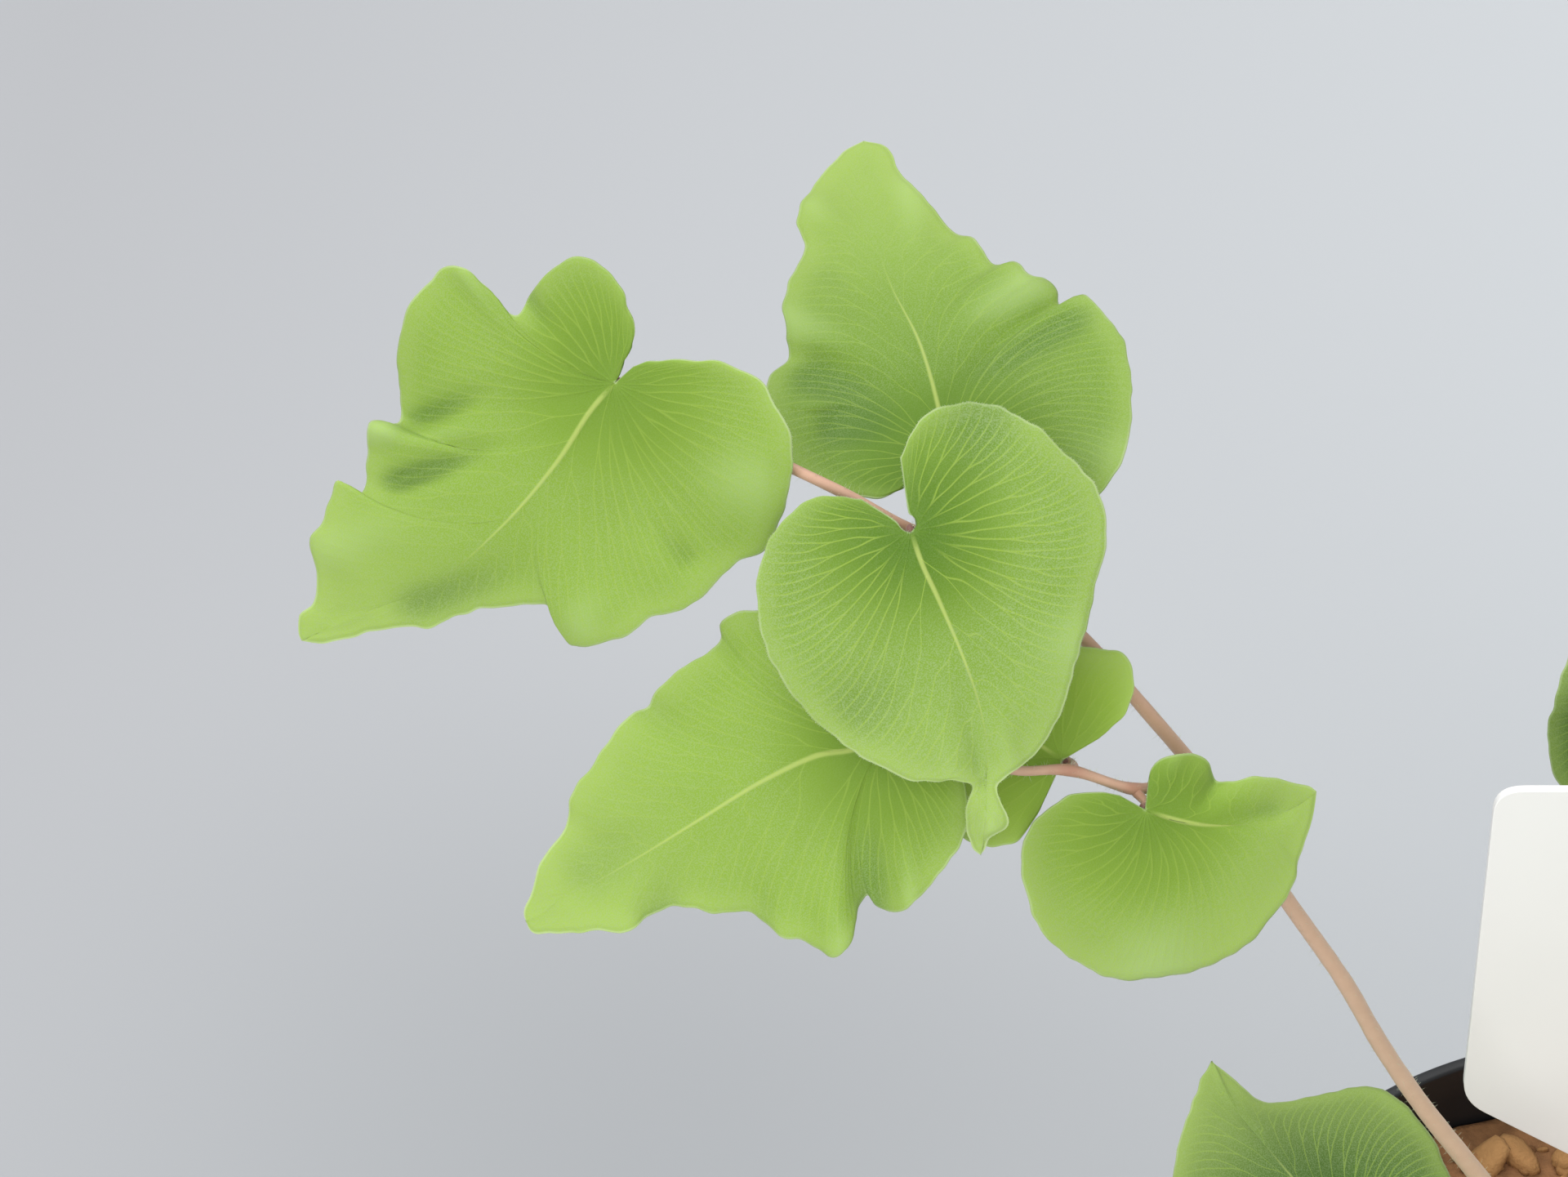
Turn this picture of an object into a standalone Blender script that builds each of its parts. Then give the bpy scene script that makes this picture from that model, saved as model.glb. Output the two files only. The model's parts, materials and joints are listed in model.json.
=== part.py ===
"""A small potted cliff brake fern: a black nursery pot of bark soil, a bare white plant label and five
fronds. Each frond is one stalk, with the petiolules that its heart-shaped leaflets sit on.

Lengths are in millimetres, and are turned to metres where a mesh is made. The origin is the middle of
the pot's bottom, +Z is up, and the long frond arches to -X.
"""

import math
import random

import bpy
import numpy as np

MM = 0.001

# Short straight steps that a smooth curve has from each of its points to the next.
CURVE_STEPS = 10

# Clearance kept between pieces that touch on the real plant.
GAP = 0.3

POT_HEIGHT = 68.0
POT_RIM_RADIUS = 37.5
POT_BASE_RADIUS = 26.5
POT_WALL = 1.2
POT_FLOOR = 1.6
POT_COLLAR_HEIGHT = 11.0
POT_COLLAR_STEP = 1.8
POT_COLLAR_SLOPE = 0.9
POT_COLLAR_FLARE = 0.6
POT_LIP = 0.8
POT_FOOT_ROUND = 1.3
POT_SIDES = 40
DRAIN_HOLES = 6
DRAIN_HOLE_RADIUS = 2.8
DRAIN_CIRCLE_RADIUS = 18.0

SOIL_TOP = 61.0
SOIL_BUMP = 0.7
SOIL_SIDES = 28
SOIL_RINGS = (1.0, 0.84, 0.66, 0.47, 0.27)
# The pot's wall is made of flats, so the soil stands a little more than the usual clearance inside it.
SOIL_CLEARANCE = 0.4

LABEL_THICKNESS = 0.8
LABEL_Y = 20.0
LABEL_LEFT = -16.5
LABEL_RIGHT = 14.5
LABEL_TOP = 113.5
LABEL_SHOULDER = 77.0
LABEL_STAKE_HALF_WIDTH = 3.5
LABEL_NECK = 69.0
LABEL_POINT_START = 38.0
LABEL_POINT = 30.0
LABEL_CORNER = 2.5
LABEL_POINT_RADIUS = 0.8

BLADE_THICKNESS = 0.65
# Rows of points between a leaflet's midrib and its margin, the margin's own being the last.
BLADE_ROWS = (0.4, 0.75, 1.0)
MIDRIB_STEPS = 9
# A vein leaves the midrib this much further back, for each millimetre that its end is to the side of it.
VEIN_SLANT = 1.0
# Veins bow towards the tip, in full from this share of the margin on.
VEIN_BOW = 0.12
FULL_BOW_SHARE = 0.35
RISE_POWER = 1.7

STALK_SIDES = 7
STALK_STEP = 5.5
STALK_TIP_RADIUS = 0.38
SIDE_BRANCH_RADIUS = 0.45
SIDE_BRANCH_STEP = 2.5
PETIOLULE_SIDES = 6
PETIOLULE_STEP = 1.6
PETIOLULE_RADIUS = 0.34
SEAT_INSET = 0.8
SEAT_RUN = 0.9
SEAT_SLACK = 0.08
# A branch that carries on from a stalk's end starts this far inside it.
SPLICE = 1.3
# A direction that no stalk starts along, which sets where each tube's first side is.
TUBE_SEAM = (0.3, 1.0, 0.2)

HOLE_SIDES = 10
HOLE_CLEARANCE = 0.42
# How far a cutter stands out of what it cuts.
CUTTER_REACH = 2.5

# A heart-shaped leaflet's half outline, as shares of its length, from the notch towards the tip.
HEART = (
    (-0.15, 0.06), (-0.24, 0.17), (-0.25, 0.32), (-0.14, 0.44), (0.05, 0.48), (0.26, 0.44),
    (0.46, 0.36), (0.64, 0.25), (0.80, 0.14), (0.93, 0.05),
)
# Its midrib's points, as shares of its length along it and up out of its plane.
HEART_MIDRIB = ((0.3, 0.02), (0.65, 0.0), (1.0, -0.03))
HEART_EDGE_WAVE = 0.045
HEART_WAVE_STEP = 1.9
HEART_WAVE_START = 0.25
HEART_EDGE_JITTER = 0.018
PETIOLULE_LENGTH = 6.2
LEAFLET_LIFT = 2.2
END_LEAFLET_LIFT = 1.0
# The share of a stalk's length over which its direction is read.
DIRECTION_SHARE = 0.02

SHARP_ANGLE = math.radians(35)

UP = np.array((0.0, 0.0, 1.0))
# The long frond's blades are cupped and ruffled towards the light, 40 degrees above the horizon.
LIGHT_ELEVATION = math.radians(40)
TO_LIGHT = np.array((0.0, -math.cos(LIGHT_ELEVATION), math.sin(LIGHT_ELEVATION)))


def unit(vector):
    return np.asarray(vector, float) / np.linalg.norm(vector)


def smooth_curve(points):
    """A dense smooth curve through the points, and the length along it at each of its own points."""
    knots = np.array(points, float)
    gaps = np.sqrt(np.linalg.norm(np.diff(knots, axis=0), axis=1))
    slopes = np.diff(knots, axis=0) / gaps[:, None]
    tangents = np.vstack((slopes[:1], slopes[1:], slopes[-1:]))
    share = (gaps[1:] / (gaps[:-1] + gaps[1:]))[:, None]
    tangents[1:-1] = slopes[:-1] * share + slopes[1:] * (1 - share)
    curve = [knots[:1]]
    for i, gap in enumerate(gaps):
        t = np.linspace(0, 1, CURVE_STEPS + 1)[1:, None]
        curve.append(
            (2 * t**3 - 3 * t**2 + 1) * knots[i]
            + (t**3 - 2 * t**2 + t) * gap * tangents[i]
            + (3 * t**2 - 2 * t**3) * knots[i + 1]
            + (t**3 - t**2) * gap * tangents[i + 1]
        )
    curve = np.vstack(curve)
    lengths = np.concatenate(([0.0], np.cumsum(np.linalg.norm(np.diff(curve, axis=0), axis=1))))
    return curve, lengths


def at_share(curve, lengths, share):
    """Points of a curve at shares of its length from 0 to 1."""
    wanted = np.asarray(share, float) * lengths[-1]
    return np.stack([np.interp(wanted, lengths, column) for column in curve.T], axis=-1)


def material(name, colour, roughness):
    made = bpy.data.materials.new(name)
    made.use_nodes = True
    shader = made.node_tree.nodes["Principled BSDF"]
    shader.inputs["Base Color"].default_value = (*colour, 1.0)
    shader.inputs["Roughness"].default_value = roughness
    shader.inputs["Metallic"].default_value = 0.0
    return made


def add_object(name, points, faces, finish=None, collection=None):
    mesh = bpy.data.meshes.new(name)
    mesh.from_pydata([tuple(p) for p in np.asarray(points) * MM], [], [tuple(f) for f in faces])
    mesh.update()
    made = bpy.data.objects.new(name, mesh)
    (collection or bpy.context.scene.collection).objects.link(made)
    if finish:
        mesh.materials.append(finish)
    return made


def combine(target, operation, helpers):
    """Joins the helper collection's closed meshes to the target, or cuts them from it, and drops them."""
    boolean = target.modifiers.new(operation.title(), "BOOLEAN")
    boolean.operation = operation
    boolean.operand_type = "COLLECTION"
    boolean.collection = helpers
    boolean.solver = "EXACT"
    bpy.context.view_layer.update()
    graph = bpy.context.evaluated_depsgraph_get()
    joined = bpy.data.meshes.new_from_object(target.evaluated_get(graph))
    target.modifiers.clear()
    target.data = joined
    for helper in list(helpers.objects):
        bpy.data.objects.remove(helper)
    bpy.data.collections.remove(helpers)


def helper_collection(name):
    made = bpy.data.collections.new(name)
    bpy.context.scene.collection.children.link(made)
    return made


def turned(name, profile, sides, finish):
    """A closed solid turned about Z, from a profile of (radius, height) that starts and ends on Z."""
    angles = np.arange(sides) * 2 * math.pi / sides
    ring = np.stack((np.cos(angles), np.sin(angles)), axis=1)
    points = [(0, 0, profile[0][1])]
    for radius, height in profile[1:-1]:
        points.extend((radius * x, radius * y, height) for x, y in ring)
    points.append((0, 0, profile[-1][1]))
    faces = [(0, 1 + (i + 1) % sides, 1 + i) for i in range(sides)]
    for low in range(1, 1 + sides * (len(profile) - 3), sides):
        for i in range(sides):
            after = (i + 1) % sides
            faces.append((low + i, low + after, low + sides + after, low + sides + i))
    last = len(points) - 1
    faces.extend((last - sides + i, last - sides + (i + 1) % sides, last) for i in range(sides))
    return add_object(name, points, faces, finish)


def wall_radius(height):
    """The pot wall's outer radius below its collar."""
    collar_foot = POT_HEIGHT - POT_COLLAR_HEIGHT
    top = POT_RIM_RADIUS - POT_COLLAR_STEP - POT_COLLAR_FLARE
    return POT_BASE_RADIUS + (top - POT_BASE_RADIUS) * height / collar_foot


def make_pot(finish):
    """The nursery pot: a tapered wall, a wider collar with a rounded lip, and a drained flat floor."""
    collar_foot = POT_HEIGHT - POT_COLLAR_HEIGHT
    foot_radius = wall_radius(collar_foot)
    collar_radius = foot_radius + POT_COLLAR_STEP
    profile = [
        (0, 0),
        (POT_BASE_RADIUS - POT_FOOT_ROUND, 0),
        (POT_BASE_RADIUS, POT_FOOT_ROUND),
        (foot_radius, collar_foot),
        (collar_radius, collar_foot + POT_COLLAR_SLOPE),
        (POT_RIM_RADIUS - POT_LIP / 2, POT_HEIGHT - POT_LIP * 2),
        (POT_RIM_RADIUS, POT_HEIGHT - POT_LIP),
        (POT_RIM_RADIUS - POT_LIP / 2, POT_HEIGHT),
        (POT_RIM_RADIUS - POT_LIP / 2 - POT_WALL, POT_HEIGHT),
        (collar_radius - POT_WALL, collar_foot + POT_COLLAR_SLOPE + POT_WALL),
        (foot_radius - POT_WALL, collar_foot + POT_WALL),
        (POT_BASE_RADIUS - POT_WALL, POT_FLOOR),
        (0, POT_FLOOR),
    ]
    pot = turned("pot", profile, POT_SIDES, finish)
    drill = helper_collection("drain_holes")
    for i in range(DRAIN_HOLES):
        angle = 2 * math.pi * (i + 0.5) / DRAIN_HOLES
        middle = np.array((math.cos(angle), math.sin(angle), 0)) * DRAIN_CIRCLE_RADIUS
        bottom = middle - UP * CUTTER_REACH
        top = middle + UP * (POT_FLOOR + CUTTER_REACH)
        add_rod("drain_hole", bottom, top, DRAIN_HOLE_RADIUS, drill)
    combine(pot, "DIFFERENCE", drill)


def add_rod(name, start, end, radius, collection):
    """A plain straight rod, used as a cutter."""
    points, faces = tube_mesh(np.array((start, end)), (radius, radius), HOLE_SIDES)
    return add_object(name, points, faces, collection=collection)


def soil_radius(height):
    """The soil's outer radius, which follows the inside of the pot below its collar."""
    return wall_radius(height) - POT_WALL - SOIL_CLEARANCE


def make_soil(finish, stalks):
    """Bark soil: it fills the pot, its top is lumpy, and each stalk and the label stand in a hole."""
    random_source = random.Random(31)
    collar_foot = POT_HEIGHT - POT_COLLAR_HEIGHT
    edge_radius = soil_radius(collar_foot) + POT_COLLAR_STEP
    rings = [
        (soil_radius(0), POT_FLOOR + GAP),
        (soil_radius(collar_foot), collar_foot + POT_WALL + GAP),
        (edge_radius, collar_foot + POT_COLLAR_SLOPE + POT_WALL + GAP),
    ]
    points = [(0, 0, POT_FLOOR + GAP)]
    angles = np.arange(SOIL_SIDES) * 2 * math.pi / SOIL_SIDES
    for radius, height in rings:
        points.extend((radius * math.cos(a), radius * math.sin(a), height) for a in angles)
    for share in SOIL_RINGS:
        for angle in angles:
            radius = edge_radius * share
            lump = random_source.uniform(-SOIL_BUMP, SOIL_BUMP)
            points.append((radius * math.cos(angle), radius * math.sin(angle), SOIL_TOP + lump))
    points.append((0, 0, SOIL_TOP))
    bands = len(rings) + len(SOIL_RINGS)
    faces = [(0, 1 + (i + 1) % SOIL_SIDES, 1 + i) for i in range(SOIL_SIDES)]
    for band in range(bands - 1):
        low = 1 + band * SOIL_SIDES
        for i in range(SOIL_SIDES):
            after = (i + 1) % SOIL_SIDES
            faces.append((low + i, low + after, low + SOIL_SIDES + after))
            faces.append((low + i, low + SOIL_SIDES + after, low + SOIL_SIDES + i))
    last = len(points) - 1
    for i in range(SOIL_SIDES):
        faces.append((last - SOIL_SIDES + i, last - SOIL_SIDES + (i + 1) % SOIL_SIDES, last))
    soil = add_object("soil", points, faces, finish)
    holes = helper_collection("soil_holes")
    for stalk in stalks:
        foot, above = np.array(stalk.route[0]), np.array(stalk.route[1])
        along = unit(above - foot)
        start = foot - along * GAP
        end = above + along * CUTTER_REACH
        add_rod("stalk_hole", start, end, stalk.radius + HOLE_CLEARANCE, holes)
    slot = [
        (side * (LABEL_STAKE_HALF_WIDTH + GAP), LABEL_Y + front * (LABEL_THICKNESS / 2 + GAP))
        for side, front in ((-1, -1), (1, -1), (1, 1), (-1, 1))
    ]
    middle = (LABEL_LEFT + LABEL_RIGHT) / 2
    corners = [(x + middle, y, LABEL_POINT - GAP) for x, y in slot]
    corners += [(x + middle, y, SOIL_TOP + CUTTER_REACH) for x, y in slot]
    box_faces = [(3, 2, 1, 0), (4, 5, 6, 7)] + [
        (i, (i + 1) % 4, 4 + (i + 1) % 4, 4 + i) for i in range(4)
    ]
    add_object("label_slot", corners, box_faces, collection=holes)
    combine(soil, "DIFFERENCE", holes)


def rounded(corners, steps=3):
    """The outline of a polygon given as (x, z, radius), with each corner cut back and rounded."""
    outline = []
    flat = [np.array(corner[:2]) for corner in corners]
    for i, corner in enumerate(flat):
        radius = corners[i][2]
        before = corner + unit(flat[i - 1] - corner) * radius
        after = corner + unit(flat[(i + 1) % len(flat)] - corner) * radius
        for t in np.linspace(0, 1, steps + 1):
            outline.append((1 - t) ** 2 * before + 2 * t * (1 - t) * corner + t**2 * after)
    return outline


def make_label(finish):
    """A flat plastic plant label: a bare head, tapered shoulders and a pointed stake in the soil."""
    middle = (LABEL_LEFT + LABEL_RIGHT) / 2
    half_head = (LABEL_RIGHT - LABEL_LEFT) / 2
    half_outline = [
        (half_head, LABEL_TOP, LABEL_CORNER),
        (half_head, LABEL_SHOULDER, LABEL_CORNER),
        (LABEL_STAKE_HALF_WIDTH, LABEL_NECK, LABEL_CORNER),
        (LABEL_STAKE_HALF_WIDTH, LABEL_POINT_START, LABEL_CORNER),
    ]
    corners = [(middle - x, z, radius) for x, z, radius in half_outline]
    corners.append((middle, LABEL_POINT, LABEL_POINT_RADIUS))
    corners += [(middle + x, z, radius) for x, z, radius in reversed(half_outline)]
    outline = rounded(corners)
    count = len(outline)
    points = [(x, LABEL_Y - LABEL_THICKNESS / 2, z) for x, z in outline]
    points += [(x, LABEL_Y + LABEL_THICKNESS / 2, z) for x, z in outline]
    faces = [tuple(range(count)), tuple(reversed(range(count, 2 * count)))]
    faces += [(i, count + i, count + (i + 1) % count, (i + 1) % count) for i in range(count)]
    add_object("plant_label", points, faces, finish)


def tube_mesh(path, radii, sides):
    """A closed round tube along the path, with a flat cap at each end."""
    steps = len(path)
    tangents = np.gradient(path, axis=0)
    tangents /= np.linalg.norm(tangents, axis=1)[:, None]
    across = unit(np.cross(tangents[0], TUBE_SEAM))
    points = []
    for i in range(steps):
        across = unit(across - tangents[i] * np.dot(across, tangents[i]))
        other = np.cross(tangents[i], across)
        radius = radii[0] + (radii[1] - radii[0]) * i / (steps - 1)
        for side in range(sides):
            angle = 2 * math.pi * side / sides
            points.append(path[i] + radius * (across * math.cos(angle) + other * math.sin(angle)))
    faces = [tuple(reversed(range(sides))), tuple(range((steps - 1) * sides, steps * sides))]
    for i in range(steps - 1):
        for side in range(sides):
            after = (side + 1) % sides
            low = i * sides
            faces.append((low + side, low + after, low + sides + after, low + sides + side))
    return points, faces


def add_tube(name, route, radii, sides, step, finish=None, collection=None):
    curve, lengths = smooth_curve(route)
    count = max(3, round(lengths[-1] / step) + 1)
    path = at_share(curve, lengths, np.linspace(0, 1, count))
    points, faces = tube_mesh(path, radii, sides)
    return add_object(name, points, faces, finish, collection)


class Leaflet:
    """One blade. Its outline is (along, across, rise) from its base: along the line to its tip, to its
    left as seen from its face, and up out of its plane. The left and right lists run from the notch
    at the base round the lobe towards the tip, which is the midrib's last point."""

    def __init__(self, name, base, tip, face, midrib, left, right, lift=None):
        self.name = name
        self.base = np.array(base, float)
        self.along = unit(np.array(tip, float) - self.base)
        face = np.array(face, float)
        self.normal = unit(face - self.along * np.dot(face, self.along))
        self.across = np.cross(self.normal, self.along)
        self.lift = self.normal if lift is None else lift
        self.midrib = [(0, 0, 0)] + midrib
        self.sides = {1: left + [midrib[-1]], -1: right + [midrib[-1]]}

    def seat(self):
        """Where the petiolule ends, just under the blade, and the point that it comes up from."""
        depth = BLADE_THICKNESS / 2 + GAP + SEAT_SLACK
        end = self.base + self.along * SEAT_INSET - self.normal * depth
        return end - self.normal * SEAT_RUN, end

    def placed(self, flat):
        flat = np.asarray(flat, float)
        return (
            self.base
            + flat[..., 0:1] * self.along
            + flat[..., 1:2] * self.across
            + flat[..., 2:3] * self.lift
        )

    def margin(self, side):
        """The outline points of one half, and each one's share of the way round to the tip."""
        curve, lengths = smooth_curve(self.sides[side])
        return curve[::CURVE_STEPS], lengths[::CURVE_STEPS] / lengths[-1]

    def starts(self, margin):
        """The share of the midrib's length at which the vein to each margin point leaves it."""
        curve, lengths = smooth_curve(self.midrib)
        aside = np.abs(margin[:, 1] - np.interp(margin[:, 0], curve[:, 0], curve[:, 1]))
        along = np.maximum.accumulate(np.clip(margin[:, 0] - VEIN_SLANT * aside, 0, None))
        shares = np.interp(along, curve[:, 0], lengths / lengths[-1])
        shares[-1] = 1.0
        return shares

    def rows(self, side):
        """Points of one half of the blade, for each outline point and each row out to it."""
        margin, round_shares = self.margin(side)
        start = at_share(*smooth_curve(self.midrib), self.starts(margin))
        reach = margin - start
        bow = VEIN_BOW * np.clip(round_shares / FULL_BOW_SHARE, 0, 1)[:, None]
        turned_reach = side * np.stack((reach[:, 1], -reach[:, 0]), axis=1)
        rows = []
        for v in BLADE_ROWS:
            flat = start + reach * v
            flat[:, :2] += turned_reach * bow * 4 * v * (1 - v)
            flat[:, 2] = start[:, 2] + reach[:, 2] * v**RISE_POWER
            rows.append(flat)
        return np.stack(rows, axis=1)

    def sheet(self):
        """The blade's middle surface as points and triangles, with the two halves sharing the midrib."""
        points, faces, known = [], [], {}

        def number(point):
            key = tuple(np.round(point, 3))
            if key not in known:
                known[key] = len(points)
                points.append(point)
            return known[key]

        steps = np.linspace(0, 1, MIDRIB_STEPS + 1)
        rib = [number(point) for point in at_share(*smooth_curve(self.midrib), steps)]
        for side in (1, -1):
            numbers = [[number(point) for point in column] for column in self.rows(side)]
            triangles = rib_strip(points, rib, [column[0] for column in numbers])
            for near, far in zip(numbers, numbers[1:]):
                for a, b, c, d in zip(near, near[1:], far, far[1:]):
                    triangles += [(a, b, d), (a, d, c)]
            for corners in triangles:
                if len(set(corners)) == 3:
                    faces.append(corners if side < 0 else corners[::-1])
        return np.array(points), faces

    def solid(self):
        """The blade as a closed solid, as thick along its lift everywhere, so its two faces never cross."""
        flat, faces = self.sheet()
        middle = self.placed(flat)
        half = self.lift * BLADE_THICKNESS / 2 / np.dot(self.lift, self.normal)
        count = len(middle)
        edges = {(a, b) for face in faces for a, b in zip(face, face[1:] + face[:1])}
        rim = [(b, a, a + count, b + count) for a, b in edges if (b, a) not in edges]
        under = [tuple(corner + count for corner in reversed(face)) for face in faces]
        return np.concatenate((middle + half, middle - half)), faces + under + sorted(rim)


def rib_strip(flat, rib, row):
    """Triangles between the midrib's points and the first row of points out from it, up to the tip."""
    triangles, k, i = [], 0, 0
    while k < len(rib) - 2 or i < len(row) - 2:
        along_rib = np.linalg.norm(flat[rib[k + 1]] - flat[row[i]])
        along_row = np.linalg.norm(flat[rib[k]] - flat[row[i + 1]])
        if i == len(row) - 2 or (k < len(rib) - 2 and along_rib < along_row):
            triangles.append((rib[k], row[i], rib[k + 1]))
            k += 1
        else:
            triangles.append((rib[k], row[i], row[i + 1]))
            i += 1
    return triangles + [(rib[k], row[i], rib[k + 1])]


class Stalk:
    """A frond's stalk: its route, thick at the foot and thin at the tip, with the routes that branch."""

    def __init__(self, name, radius, route):
        self.name = name
        self.radius = radius
        self.route = route
        self.branches = []

    def branch(self, route, radius=PETIOLULE_RADIUS, step=PETIOLULE_STEP):
        self.branches.append((route, radius, step))

    def carry_on(self, route):
        """A branch that goes on from the stalk's own end."""
        end, before = np.array(self.route[-1]), np.array(self.route[-2])
        self.branch([end + unit(before - end) * SPLICE, *route])


def make_stalk(stalk, finish):
    radii = (stalk.radius, STALK_TIP_RADIUS)
    made = add_tube(stalk.name, stalk.route, radii, STALK_SIDES, STALK_STEP, finish)
    branches = helper_collection(stalk.name + "_branches")
    for i, (route, radius, step) in enumerate(stalk.branches):
        radii = (radius, PETIOLULE_RADIUS)
        add_tube(f"{stalk.name}_branch_{i}", route, radii, PETIOLULE_SIDES, step, collection=branches)
    combine(made, "UNION", branches)


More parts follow.
